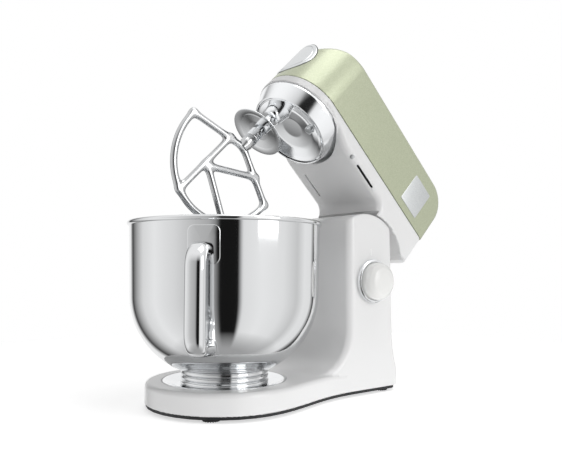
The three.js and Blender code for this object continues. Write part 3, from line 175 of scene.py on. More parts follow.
@dataclass(frozen=True)
class Finish:
    """One real finish: its colour, how it shines and the grain in it.

    Attributes:
        name: the material's common name.
        colour: sRGB hex of the surface.
        metallic: 1 for bare metal.
        roughness: middle of the roughness.
        grain: how it was made.
        grain_mm: size of the grain's pattern.
        depth_mm: height of the grain's bump.
        spread: how far roughness strays from its middle.
        coat: weight of a clear coat.
        second: sRGB hex of the darker flecks or streaks.
        index: refractive index.
    """

    name: str
    colour: str
    metallic: float
    roughness: float
    grain: Grain
    grain_mm: float
    depth_mm: float
    spread: float = 0.03
    coat: float = 0.0
    second: str = ""
    index: float = 1.5

    def material(self) -> bpy.types.Material:
        """The node material of this finish, made once.

        Returns:
            The material.
        """
        known = bpy.data.materials.get(self.name)
        if known:
            return known
        material = bpy.data.materials.new(self.name)
        material.use_nodes = True
        tree = material.node_tree
        tree.nodes.clear()
        place = add_node(tree, "ShaderNodeTexCoord").outputs["Object"]
        stretch = (1.0, 1.0, 14.0) if self.grain is Grain.BRUSHED else (1.0, 1.0, 1.0)
        mapped = add_node(tree, "ShaderNodeMapping", {"Scale": stretch}, {"Vector": place}).outputs["Vector"]
        scale = 1.0 / (self.grain_mm * MM)
        fine = add_node(
            tree, "ShaderNodeTexNoise", {"Scale": scale, "Detail": 3.0}, {"Vector": mapped}
        ).outputs["Fac"]
        broad = add_node(tree, "ShaderNodeTexNoise", {"Scale": scale / 40, "Detail": 2.0}, {"Vector": place})
        rough = add_node(
            tree,
            "ShaderNodeMapRange",
            {"To Min": max(self.roughness - self.spread, 0.01), "To Max": self.roughness + self.spread},
            {"Value": broad.outputs["Fac"]},
        ).outputs["Result"]
        shader = add_node(tree, "ShaderNodeBsdfPrincipled", {"Metallic": self.metallic}, {"Roughness": rough})
        if self.metallic < 1:
            shader.inputs["IOR"].default_value = self.index
        if self.coat:
            shader.inputs["Coat Weight"].default_value = self.coat
            shader.inputs["Coat Roughness"].default_value = 0.12
        if self.second:
            flecks = fine
            if self.grain is Grain.FLAKE:
                flake = add_node(tree, "ShaderNodeTexVoronoi", {"Scale": scale}, {"Vector": mapped})
                flecks = flake.outputs["Color"]
            share = add_node(
                tree, "ShaderNodeMapRange", {"From Min": 0.35, "From Max": 0.75}, {"Value": flecks}
            ).outputs["Result"]
            colours = {MIX_A: linear(self.second), MIX_B: linear(self.colour)}
            mix = add_node(tree, "ShaderNodeMix", colours, {"Factor": share}, data_type="RGBA")
            tree.links.new(mix.outputs[MIX_RESULT], shader.inputs["Base Color"])
        else:
            shader.inputs["Base Color"].default_value = linear(self.colour)
        if self.depth_mm:
            bump = add_node(
                tree, "ShaderNodeBump", {"Strength": 0.4, "Distance": self.depth_mm * MM}, {"Height": fine}
            ).outputs["Normal"]
            tree.links.new(bump, shader.inputs["Normal"])
        add_node(tree, "ShaderNodeOutputMaterial", links={"Surface": shader.outputs["BSDF"]})
        return material


# white enamel sprayed and baked on a die casting: a soft orange peel of 4 mm that only softens its highlights
WHITE = Finish("white_enamel", "#F0F0F0", 0.0, 0.30, Grain.PEEL, 4.0, 0.01, coat=0.25)
# pale sage metallic lacquer: flake drawn at 0.8 mm, coarser than real, so that its sparkle shows
SAGE = Finish("sage_metallic_lacquer", "#BCC1A8", 0.6, 0.36, Grain.FLAKE, 0.8, 0.004, coat=0.3, second="#B1B79C")
# deep-drawn stainless sheet, mirror polished: faint waviness at 30 mm from the buffing
STAINLESS = Finish("polished_stainless_steel", "#DEDFE0", 1.0, 0.06, Grain.POLISHED, 30.0, 0.012, 0.02)
# chrome plate over a turned part: a nearly perfect mirror
CHROME = Finish("chrome_plate", "#E6E7E8", 1.0, 0.05, Grain.POLISHED, 25.0, 0.006, 0.02)
# bead-blasted and plated: frosted silver
FROSTED = Finish("satin_chrome", "#D3D5D6", 1.0, 0.30, Grain.CAST, 0.7, 0.012, 0.04)
# brushed and clear-lacquered aluminium plate: fine upright lines
BRUSHED = Finish("brushed_aluminium", "#E2E4E4", 1.0, 0.34, Grain.BRUSHED, 2.0, 0.008, 0.05, second="#C2C5C6")
# sand-cast aluminium left as cast
CASTING = Finish("cast_aluminium", "#B5B8BB", 1.0, 0.5, Grain.CAST, 1.4, 0.05, 0.08, second="#9A9DA0")
# die-cast aluminium, tumbled and polished: bright, with faint waves left by the tumbling
POLISHED_CASTING = Finish("polished_cast_aluminium", "#C4C5C6", 1.0, 0.15, Grain.POLISHED, 20.0, 0.004, 0.03)
# plain turned and blackened steel
STEEL = Finish("machined_steel", "#7C7F83", 1.0, 0.34, Grain.BRUSHED, 1.5, 0.01, 0.06, second="#63666A")
# oil-filled sintered bronze
BRONZE = Finish("sintered_bronze", "#B08A50", 1.0, 0.45, Grain.CAST, 0.8, 0.02, 0.08, second="#8E6C3A")
# injection-moulded ABS, soft gloss
WHITE_ABS = Finish("white_abs", "#F2F2F0", 0.0, 0.22, Grain.CAST, 2.5, 0.004, coat=0.2)
# black moulded plastic with a spark-eroded grain
BLACK_ABS = Finish("black_moulded_plastic", "#1A1B1D", 0.0, 0.5, Grain.CAST, 0.6, 0.03, 0.08)
# natural nylon, slightly waxy
NYLON = Finish("natural_nylon", "#DCD6C2", 0.0, 0.45, Grain.CAST, 1.5, 0.01, 0.06)
# vulcanised rubber: matt with a fine tooth
RUBBER = Finish("black_rubber", "#161616", 0.0, 0.8, Grain.CAST, 0.8, 0.04, 0.1)
# green solder mask over glass fibre
BOARD = Finish("circuit_board", "#2F6B42", 0.0, 0.4, Grain.CAST, 0.9, 0.02, 0.08, second="#255535")
# print baked on to the enamel: a shade whiter than it, and flatter
PRINT = Finish("grey_print", "#FBFBFB", 0.0, 0.4, Grain.CAST, 1.0, 0.0)
# painted shade round the cap: a near-black colour that stands for the shade in the narrow gap
SHADOW = Finish("painted_gap_shade", "#2A2C28", 0.0, 0.6, Grain.CAST, 0.8, 0.02)

SLOT_FINISH = {
    "white_paint": WHITE,
    "green_paint": SAGE,
    "stainless": STAINLESS,
    "chrome_plate": CHROME,
    "dark_steel": STEEL,
    "cast_aluminium": CASTING,
    "bronze": BRONZE,
    "white_plastic": WHITE_ABS,
    "black_plastic": BLACK_ABS,
    "nylon": NYLON,
    "circuit_board": BOARD,
    "rubber": RUBBER,
}


# ---- meshes ------------------------------------------------------------------------------------------------


def solid_mesh(name: str, part: Part, place: Place, crease: float = 35.0) -> bpy.types.Mesh:
    """A finished mesh: doubles merged, faces outward and edges sharper than an angle kept crisp.

    Args:
        name: the mesh's name.
        part: its points in millimetres and its faces.
        place: the frame the points are drawn in.
        crease: sharpest angle, in degrees, that is still shaded smooth.

    Returns:
        The mesh, where it stands.
    """
    mesh = bpy.data.meshes.new(name)
    mesh.from_pydata(settle(part[0], place).tolist(), [], [list(face) for face in part[1]])
    work = bmesh.new()
    work.from_mesh(mesh)
    bmesh.ops.remove_doubles(work, verts=work.verts, dist=WELD * MM)
    bmesh.ops.recalc_face_normals(work, faces=work.faces)
    work.to_mesh(mesh)
    work.free()
    mesh.polygons.foreach_set("use_smooth", [True] * len(mesh.polygons))
    mesh.set_sharp_from_angle(angle=math.radians(crease))
    mesh.update()
    return mesh


def show(name: str, mesh: bpy.types.Mesh, finish: Finish, body: str, slot: str, *nodes: str) -> bpy.types.Object:
    """Makes a finished piece that rides on a body and stands for CAD nodes.

    Args:
        name: the piece's name.
        mesh: its mesh, in place.
        finish: what it is made of.
        body: the body it moves with.
        slot: the record's material slot; not used.
        nodes: the CAD nodes it stands for.

    Returns:
        The new object.
    """
    obj = bpy.data.objects.new(name, mesh)
    bpy.context.scene.collection.objects.link(obj)
    obj.data.materials.clear()
    obj.data.materials.append(finish.material())
    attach(obj, body)
    if nodes:
        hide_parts(*nodes)
    LOG.info("%s: %d faces on %s", name, len(mesh.polygons), body)
    return obj


def solid(
    name: str, part: Part, place: Place, finish: Finish, body: str, slot: str, *nodes: str, crease: float = 35.0
) -> None:
    """Makes a piece of points and faces and shows it.

    Args:
        name: the piece's name.
        part: its points in millimetres and its faces.
        place: the frame the points are drawn in.
        finish: its finish.
        body: the body it rides on.
        slot: the record's material slot.
        nodes: the CAD nodes it stands for.
        crease: sharpest angle, in degrees, that is still shaded smooth.
    """
    show(name, solid_mesh(name, part, place, crease), finish, body, slot, *nodes)


def softened(corners: Profile, steps: int = 6) -> Line:
    """A line of points whose corners are turned with arcs.

    Args:
        corners: points (u, v) or (u, v, radius).
        steps: pieces in each arc.

    Returns:
        The points of the line.
    """
    out: Line = []
    for i, corner in enumerate(corners):
        here = Vector(corner[:2])
        radius = corner[2] if len(corner) > 2 else 0.0
        if not radius or i in (0, len(corners) - 1):
            out.append((here.x, here.y))
            continue
        before = (Vector(corners[i - 1][:2]) - here).normalized()
        after = (Vector(corners[i + 1][:2]) - here).normalized()
        half = before.angle(after) / 2
        reach = radius / math.tan(half)
        centre = here + (before + after).normalized() * (radius / math.sin(half))
        first = here + before * reach - centre
        last = here + after * reach - centre
        swing = first.angle_signed(last)
        for k in range(steps + 1):
            spoke = first.copy()
            spoke.rotate(Matrix.Rotation(-swing * k / steps, 2))
            point = centre + spoke
            out.append((point.x, point.y))
    return out


def arc(centre: tuple[float, float], radius: float, start: float, end: float, steps: int) -> Line:
    """Points of an arc between two angles.

    Args:
        centre: its centre.
        radius: its radius.
        start: its first angle, in degrees.
        end: its last angle, in degrees.
        steps: pieces in it.

    Returns:
        The points.
    """
    angles = [math.radians(start + (end - start) * k / steps) for k in range(steps + 1)]
    return [(centre[0] + radius * math.cos(a), centre[1] + radius * math.sin(a)) for a in angles]


class Axis(Enum):
    """The axis that a turned piece is turned about."""

    X = "x"
    Y = "y"
    Z = "z"


def turned(profile: Profile, segments: int = 96, axis: Axis = Axis.Z, at: Sequence[float] = (0, 0, 0)) -> Part:
    """Points and faces of a body of revolution.

    Args:
        profile: (radius, height) points; a closed loop repeats its first point.
        segments: pieces round the axis.
        axis: the axis it is turned about.
        at: a point on the axis.

    Returns:
        The points in millimetres and the faces.
    """
    line = np.array([p[:2] for p in profile])
    angles = np.linspace(0, 2 * math.pi, segments, endpoint=False)
    around, across = np.cos(angles)[:, None] * line[:, 0], np.sin(angles)[:, None] * line[:, 0]
    along = np.broadcast_to(line[:, 1], around.shape)
    order = {Axis.Z: (around, across, along), Axis.X: (along, around, across), Axis.Y: (around, along, across)}
    points = np.stack(order[axis], -1).reshape(-1, 3) + np.array(at, float)
    count = len(line)
    faces = []
    for s in range(segments):
        here, there = s * count, (s + 1) % segments * count
        faces += [(here + k, there + k, there + k + 1, here + k + 1) for k in range(count - 1)]
    return points, faces


def joined(*parts: Part) -> Part:
    """Several sets of points and faces as one.

    Args:
        parts: the sets.

    Returns:
        The points and faces of all of them.
    """
    points, faces, start = [], [], 0
    for part_points, part_faces in parts:
        points.append(np.asarray(part_points, float))
        faces += [[i + start for i in face] for face in part_faces]
        start += len(part_points)
    return np.concatenate(points), faces


def lofted(rings: Sequence[Array], capped: bool = True, looped: bool = False) -> Part:
    """A skin drawn over rings of points.

    Args:
        rings: the rings, each with as many points as the others.
        capped: whether the first and the last ring are filled.
        looped: whether the last ring joins the first.

    Returns:
        The points and faces.
    """
    count, total = len(rings[0]), len(rings)
    faces = [
        (r * count + k, r * count + (k + 1) % count, s * count + (k + 1) % count, s * count + k)
        for r, s in zip(range(total), [*range(1, total), 0])
        for k in range(count)
        if looped or s
    ]
    if capped:
        faces += [tuple(range(count))[::-1], tuple(range((total - 1) * count, total * count))]
    return np.concatenate(rings), faces


def tabs(inner: float, outer: float, heights: tuple[float, float], sweep: tuple[float, float], steps: int) -> Part:
    """Three flat tabs round the Z axis, each an arc between two radii.

    Args:
        inner: their inner radius.
        outer: their outer radius.
        heights: their lower and upper face.
        sweep: first and last angle of the first one, in degrees.
        steps: points in each arc.

    Returns:
        The points and faces.
    """
    made = []
    for turn in (0, 120, 240):
        angles = np.radians(np.linspace(*sweep, steps) + turn)
        way = np.column_stack([np.cos(angles), np.sin(angles)])
        ring = np.concatenate([way * outer, way[::-1] * inner])
        made.append(lofted([np.column_stack([ring, np.full(len(ring), z)]) for z in heights]))
    return joined(*made)


def plate(outline: Line, low: float, high: float, edge: float, steps: int = 3) -> Part:
    """A plate along X with rounded front edges, from an outline in (y, z).

    Args:
        outline: the outline's points, anticlockwise.
        low: x of the back.
        high: x of the front.
        edge: radius of the front edge.
        steps: pieces in the edge.

    Returns:
        The points and faces.
    """
    flat = np.array(outline)
    ahead, behind = np.roll(flat, -1, 0) - flat, flat - np.roll(flat, 1, 0)
    tangent = ahead / np.linalg.norm(ahead, axis=1)[:, None] + behind / np.linalg.norm(behind, axis=1)[:, None]
    tangent /= np.linalg.norm(tangent, axis=1)[:, None]
    inward = np.stack([-tangent[:, 1], tangent[:, 0]], -1)
    rings = [(low, 0.0)]
    rings += [
        (high - edge * (1 - math.sin(a)), edge * (1 - math.cos(a))) for a in np.linspace(0, math.pi / 2, steps + 1)
    ]
    return lofted([np.column_stack([np.full(len(flat), x), flat + inward * inset]) for x, inset in rings])


# ---- shapes from distance fields ---------------------------------------------------------------------------


def crown(a: Array, b: Array, radius: Array | float) -> Array:
    """What two shapes share, with their common edge rounded.

    Args:
        a: distance from one shape.
        b: distance from the other.
        radius: of the edge.

    Returns:
        Distance from what they share.
    """
    outside = np.hypot(np.maximum(a + radius, 0), np.maximum(b + radius, 0))
    return np.minimum(np.maximum(a, b), -radius) + outside


def fillet(a: Array, b: Array, radius: float) -> Array:
    """Two shapes together, with a hollow round where they meet."""
    return -crown(-a, -b, radius)


def disc(u: Array, v: Array, radius: float) -> Array:
    """Distance from a circle."""
    return np.hypot(u, v) - radius


def gradient(shape: Field, points: Array, reach: float) -> Array:
    """Direction of steepest growth of a field at points.

    Args:
        shape: the field.
        points: rows of x, y, z.
        reach: how far to each side it is measured.

    Returns:
        A row for each point.
    """
    out = np.empty_like(points)
    for k in range(3):
        step = np.zeros(3)
        step[k] = reach
        out[:, k] = (shape(*(points + step).T) - shape(*(points - step).T)) / (2 * reach)
    return out


def cast(
    name: str, shape: Field, low: Sequence[float], high: Sequence[float], step: float, place: Place
) -> bpy.types.Mesh:
    """The mesh of a field's zero surface, drawn on a grid and pulled on to the surface.

    Args:
        name: the mesh's name.
        shape: distance field, negative inside.
        low: lowest corner of the grid.
        high: highest corner of the grid.
        step: grid spacing.
        place: the frame the field is drawn in.

    Returns:
        The mesh, smooth shaded with the field's own normals.
    """
    counts = [int(math.ceil((b - a) / step)) + 1 for a, b in zip(low, high)]
    lines = [a + step * np.arange(n) for a, n in zip(low, counts)]
    grid = np.meshgrid(*lines, indexing="ij", sparse=True)
    value = np.broadcast_to(shape(*grid), counts)
    inside = value < 0
    cells = tuple(n - 1 for n in counts)
    total, hits = np.zeros((*cells, 3), np.float32), np.zeros(cells, np.float32)
    quads = []
    for axis in range(3):
        first = [slice(None)] * 3
        second = [slice(None)] * 3
        first[axis], second[axis] = slice(0, -1), slice(1, None)
        a, b = value[tuple(first)], value[tuple(second)]
        cross = inside[tuple(first)] != inside[tuple(second)]
        share = np.where(cross, a / np.where(cross, a - b, 1), 0).astype(np.float32)
        u, v = (axis + 1) % 3, (axis + 2) % 3
        for du in (0, 1):
            for dv in (0, 1):
                cut = [slice(None)] * 3
                cut[u], cut[v] = slice(du, cells[u] + du), slice(dv, cells[v] + dv)
                here = cross[tuple(cut)]
                hits += here
                total[..., axis] += share[tuple(cut)]
                total[..., u] += here * du
                total[..., v] += here * dv
        spots = np.argwhere(cross)
        spots = spots[(spots[:, u] > 0) & (spots[:, v] > 0) & (spots[:, u] < cells[u]) & (spots[:, v] < cells[v])]
        corners = []
        for du, dv in ((-1, -1), (0, -1), (0, 0), (-1, 0)):
            corner = spots.copy()
            corner[:, u] += du
            corner[:, v] += dv
            corners.append(np.ravel_multi_index(corner.T, cells))
        quad = np.stack(corners, -1)
        flip = ~inside[tuple(spots.T)]
        quad[flip] = quad[flip][:, ::-1]
        quads.append(quad)
    used = np.flatnonzero(hits.ravel() > 0)
    index = np.full(hits.size, -1)
    index[used] = np.arange(len(used))
    where = np.stack(np.unravel_index(used, cells), -1)
    points = (where + total.reshape(-1, 3)[used] / hits.ravel()[used][:, None]) * step + np.array(low)
    points = points.astype(float)
    for _ in range(4):
        slope = gradient(shape, points, 0.02)
        size = np.maximum((slope**2).sum(1), 0.2)
        off = np.clip(shape(*points.T), -step / 2, step / 2)
        points -= (off / size)[:, None] * slope
    faces = index[np.concatenate(quads)]
    faces = faces[(faces >= 0).all(1)]
    mesh = bpy.data.meshes.new(name)
    normals = gradient(shape, points, 0.12)
    normals /= np.maximum(np.linalg.norm(normals, axis=1), 1e-6)[:, None]
    mesh.from_pydata(settle(points, place).tolist(), [], faces.tolist())
    mesh.polygons.foreach_set("use_smooth", [True] * len(mesh.polygons))
    if place is Place.HEAD:
        turn = -math.radians(HEAD_RAISED)
        y, z = normals[:, 1].copy(), normals[:, 2].copy()
        normals[:, 1] = y * math.cos(turn) - z * math.sin(turn)
        normals[:, 2] = y * math.sin(turn) + z * math.cos(turn)
    mesh.normals_split_custom_set_from_vertices(normals.tolist())
    mesh.update()
    return mesh


def nose_plan(x: Array, y: Array, radius: float) -> Array:
    """Distance from the head's plan: straight sides and a half-round nose."""
    return np.where(y < 0, np.hypot(x, y), np.abs(x)) - radius


# ---- geometry node trees -----------------------------------------------------------------------------------


class RingOf:
    """A geometry node tree that sets copies of a small block round a circle."""

    def __init__(self, name: str) -> None:
        """Builds the tree with its named inputs.

        Args:
            name: the tree's name.
        """
        self.tree = bpy.data.node_groups.new(name, "GeometryNodeTree")
        face = self.tree.interface
        face.new_socket("Radius", in_out="INPUT", socket_type="NodeSocketFloat")
        face.new_socket("Count", in_out="INPUT", socket_type="NodeSocketInt")
        face.new_socket("Size", in_out="INPUT", socket_type="NodeSocketVector")
        face.new_socket("Material", in_out="INPUT", socket_type="NodeSocketMaterial")
        face.new_socket("Geometry", in_out="OUTPUT", socket_type="NodeSocketGeometry")
        start = add_node(self.tree, "NodeGroupInput").outputs
        circle = add_node(
            self.tree,
            "GeometryNodeMeshCircle",
            links={"Vertices": start["Count"], "Radius": start["Radius"]},
        )
        block = add_node(self.tree, "GeometryNodeMeshCube", links={"Size": start["Size"]})
        place = add_node(self.tree, "GeometryNodeInputPosition").outputs["Position"]
        turn = add_node(
            self.tree, "FunctionNodeAlignRotationToVector", links={"Vector": place}, axis="X"
        ).outputs["Rotation"]
        copies = add_node(
            self.tree,
            "GeometryNodeInstanceOnPoints",
            links={"Points": circle.outputs["Mesh"], "Instance": block.outputs["Mesh"], "Rotation": turn},
        )
        real = add_node(
            self.tree, "GeometryNodeRealizeInstances", links={"Geometry": copies.outputs["Instances"]}
        )
        dressed = add_node(
            self.tree,
            "GeometryNodeSetMaterial",
            links={"Geometry": real.outputs["Geometry"], "Material": start["Material"]},
        )
        add_node(self.tree, "NodeGroupOutput", links={"Geometry": dressed.outputs["Geometry"]})

    def points(self, radius: float, count: int, size: Sequence[float], finish: Finish) -> Part:
        """Runs the tree in the flat and gives plain points and faces.

        Args:
            radius: of the circle, in millimetres.
            count: how many blocks.
            size: of a block: outward, along the circle and upright, in millimetres.
            finish: what the blocks are made of.

        Returns:
            The points in millimetres and the faces.
        """
        host = bpy.data.objects.new("host", bpy.data.meshes.new("host"))
        bpy.context.scene.collection.objects.link(host)
        modifier = host.modifiers.new("ring", "NODES")
        modifier.node_group = self.tree
        size = tuple(float(side) for side in size)
        sizes = {"Radius": radius, "Count": count, "Size": size, "Material": finish.material()}
        for socket in self.tree.interface.items_tree:
            if socket.in_out == "INPUT":
                modifier[socket.identifier] = sizes[socket.name]
        bpy.context.view_layer.update()
        made = bpy.data.meshes.new_from_object(host.evaluated_get(bpy.context.evaluated_depsgraph_get()))
        points = np.array([v.co[:] for v in made.vertices])
        faces = [tuple(face.vertices) for face in made.polygons]
        host.modifiers.remove(modifier)
        bpy.data.objects.remove(host)
        return points, faces


# ---- stand -------------------------------------------------------------------------------------------------


@dataclass
class Stand:
    """Base and column casting, its seat for the bowl and the print above the dial."""

    base_radius: float = 92.0
    base_top: float = 30.7
    base_rear: float = 234.0
    base_corner: float = 16.0
    base_edge: float = 5.5
    waist_y: float = 150.0
    floor: float = 6.8
    column_front: float = 144.0
    column_fillet: float = 53.3
    column_corner: float = 9.0
    knuckle: float = 61.8
    seat: float = 72.2
    wall: float = 4.2
    arm_x: float = 22.0
    arm_half: float = 6.5
    arm_front: float = 100.8
    arm_rear: float = 34.2
    lug_x: float = 36.0
    lug_half: float = 4.0
    lug_low: float = 132.0
    pin_bore: float = 8.6
    pin_reach: float = 46.0

    def half_width(self, y: Array) -> Array:
        """Half the base's width along its length.

        Args:
            y: distance back from the bowl's axis.

        Returns:
            Half the width there.
        """
        t = np.linspace(0, 1, 60)
        controls = np.array([self.base_radius, self.base_radius, HALF_WIDTH, HALF_WIDTH])
        stations = np.array([0, self.waist_y / 3, self.waist_y * 0.57, self.waist_y])
        weights = np.stack([(1 - t) ** 3, 3 * t * (1 - t) ** 2, 3 * t**2 * (1 - t), t**3], -1)
        return np.interp(y, weights @ stations, weights @ controls)

    def rear(self, z: Array) -> Array:
        """Where the back of the column stands at each height."""
        return np.interp(z, [30, 36, 44, 58, 72, 88, 292], [233.5, 231.6, 229.3, 226.8, 225.4, 224.6, 222.0])

    def outside(self, x: Array, y: Array, z: Array) -> Array:
        """Distance from the outside of base and column.

        Args:
            x: distance across.
            y: distance back from the bowl's axis.
            z: height.

        Returns:
            Distance, less than 0 inside.
        """
        side = (np.abs(x) - self.half_width(y)) * 0.95
        long_part = crown(side, y - self.base_rear, self.base_corner)
        plan = np.where(y < 0, disc(x, y, self.base_radius), long_part)
        base = crown(plan, z - self.base_top, self.base_edge)
        body = fillet(self.column_front - y, z - self.base_top, self.column_fillet)
        body = np.maximum(np.maximum(body, y - self.rear(z)), self.column_front - self.column_fillet - 2 - y)
        body = crown(body, np.abs(x) - HALF_WIDTH, self.column_corner)
        top = np.minimum(disc(y - PIVOT_Y, z - PIVOT_Z, self.knuckle), z - PIVOT_Z - 20)
        return np.minimum(base, crown(body, top, 3.0))

    def casting(self, x: Array, y: Array, z: Array) -> Array:
        """Distance from the hollow casting with its slots, seat and hinge lugs.

        Args:
            x: distance across.
            y: distance back from the bowl's axis.
            z: height.

        Returns:
            Distance, less than 0 in the metal.
        """
        outer = self.outside(x, y, z)
        shell = np.maximum(outer, -(outer + self.wall))
        side = np.abs(x)
        front, rear = math.radians(self.arm_front), math.radians(self.arm_rear)
        dy, dz = y - PIVOT_Y, z - PIVOT_Z
        after_rear = math.sin(rear) * dy - math.cos(rear) * dz
        before_front = math.cos(front) * dz - math.sin(front) * dy
        sector = np.maximum(after_rear, before_front)
        shell = np.maximum(shell, -np.maximum(sector, np.abs(side - self.arm_x) - self.arm_half))
        lug = np.maximum(np.abs(side - self.lug_x) - self.lug_half, self.lug_low - z)
        lug = np.maximum(lug, np.maximum(outer + 1, self.column_front - y))
        shell = np.minimum(shell, lug)
        shell = np.maximum(shell, -np.maximum(disc(dy, dz, self.pin_bore), side - self.pin_reach))
        well = np.minimum(
            np.maximum(disc(x, y, self.seat + GAP), self.base_top - 2.3 - z), disc(x, y, self.seat - 5)
        )
        return np.maximum(np.maximum(shell, -well), self.floor - z)

    def build(self) -> None:
        """Makes the pieces that stand still."""
        mesh = cast("stand_shell", self.casting, (-96, -97, 2), (96, 240, 236), 2.0, Place.STAND)
        show("stand_shell", mesh, WHITE, "stand", "white_paint", "stand_casting")
        self.dish()
        self.feet()
        self.mark()

    def dish(self) -> None:
        """The bright dish that the bowl stands in, with its bayonet lugs."""
        top, floor = self.base_top, 24.6
        profile = softened(
            [
                (0, floor), (36, floor), (38, floor - 1), (56, floor - 1, 6), (66.8, top - 1.6, 2),
                (self.seat, top - 1.9, 0.3), (self.seat, top, 0.5), (self.seat - 3, top + 0.3, 2),
                (56, floor + 0.6, 9), (38, floor + 0.6, 2), (38, 33, 0.8), (0, 33),
            ]
        )
        lugs = tabs(36, 43.5, (30.6, 33.0), (-12, 12), 9)
        solid(
            "seat_dish", joined(turned(profile, 128), lugs), Place.STAND,
            CHROME, "stand", "chrome_plate", "bowl_seat",
        )

    def feet(self) -> None:
        """Rubber feet, each with a moulded tread of blocks round its edge."""
        tread = RingOf("tread_blocks")
        for number in range(1, 5):
            node = f"rubber_foot_{number}"
            centre = middle(node)
            at = (centre.x / MM, (centre.y - AXIS_Y) / MM, 0)
            profile = softened([(0, 0.2), (7.5, 0.2, 0.4), (8.2, 1.0), (10, 1.0, 0.6), (10, 3.2), (0, 3.2)])
            foot = turned(profile, 40, at=at)
            points, faces = tread.points(8.6, 20, (1.6, 1.2, 1.4), RUBBER)
            blocks = (points + np.array([at[0], at[1], 0.71]), faces)
            solid(f"tread_foot_{number}", joined(foot, blocks), Place.STAND, RUBBER, "stand", "rubber", node)

    def mark(self) -> None:
        """The small upright line printed above the dial."""
        outline = softened([(181.4, 177), (183.0, 177), (183.0, 185.5), (181.4, 185.5)])
        solid(
            "dial_mark", plate(outline, HALF_WIDTH - 0.2, HALF_WIDTH + 0.15, 0.05), Place.STAND,
            PRINT, "stand", "white_paint",
        )


@dataclass
class Dial:
    """Speed dial: knurled ring and domed knob on the column's side."""

    y: float = 184.4
    z: float = 144.0
    ring: float = 28.0
    knob: float = 24.0
    length: float = 20.0
    ridges: int = 72

    def build(self) -> None:
        """Makes the fixed ring with its grip ridges and the knob that turns."""
        face = HALF_WIDTH + GAP
        at = (0, self.y, self.z)
        inner = self.knob + 0.8
        ring = turned(
            softened(
                [
                    (6, face), (self.ring, face, 0.4), (self.ring, face + 4, 1.2),
                    (self.ring - 1.5, face + 5.5, 0.6), (inner, face + 5.5, 0.3), (inner, face + 1.6, 0.3),
                    (6, face + 1.6), (6, face),
                ]
            ),
            120, Axis.X, at,
        )
        tree = RingOf("grip_ridges")
        points, faces = tree.points(self.ring - 0.1, self.ridges, (0.5, 1.1, 2.6), CHROME)
        ridges = (np.column_stack([points[:, 2] + face + 2.1, points[:, 0] + self.y, points[:, 1] + self.z]), faces)
        solid("speed_ring", joined(ring, ridges), Place.STAND, CHROME, "stand", "chrome_plate", "dial_ring")
        back = face + 2.6
        knob = softened(
            [
                (0, back), (self.knob, back, 0.5), (self.knob, back + 9, 4), (self.knob - 1.9, back + 13.8, 6),
                (self.knob - 7, back + 17.8, 8), (self.knob - 14, back + self.length - 0.7, 12),
                (0, back + self.length),
            ],
            8,
        )
        solid(
            "speed_knob", turned(knob, 120, Axis.X, at), Place.STAND,
            WHITE_ABS, "dial", "white_plastic", "dial_knob", crease=50,
        )


# ---- bowl --------------------------------------------------------------------------------------------------


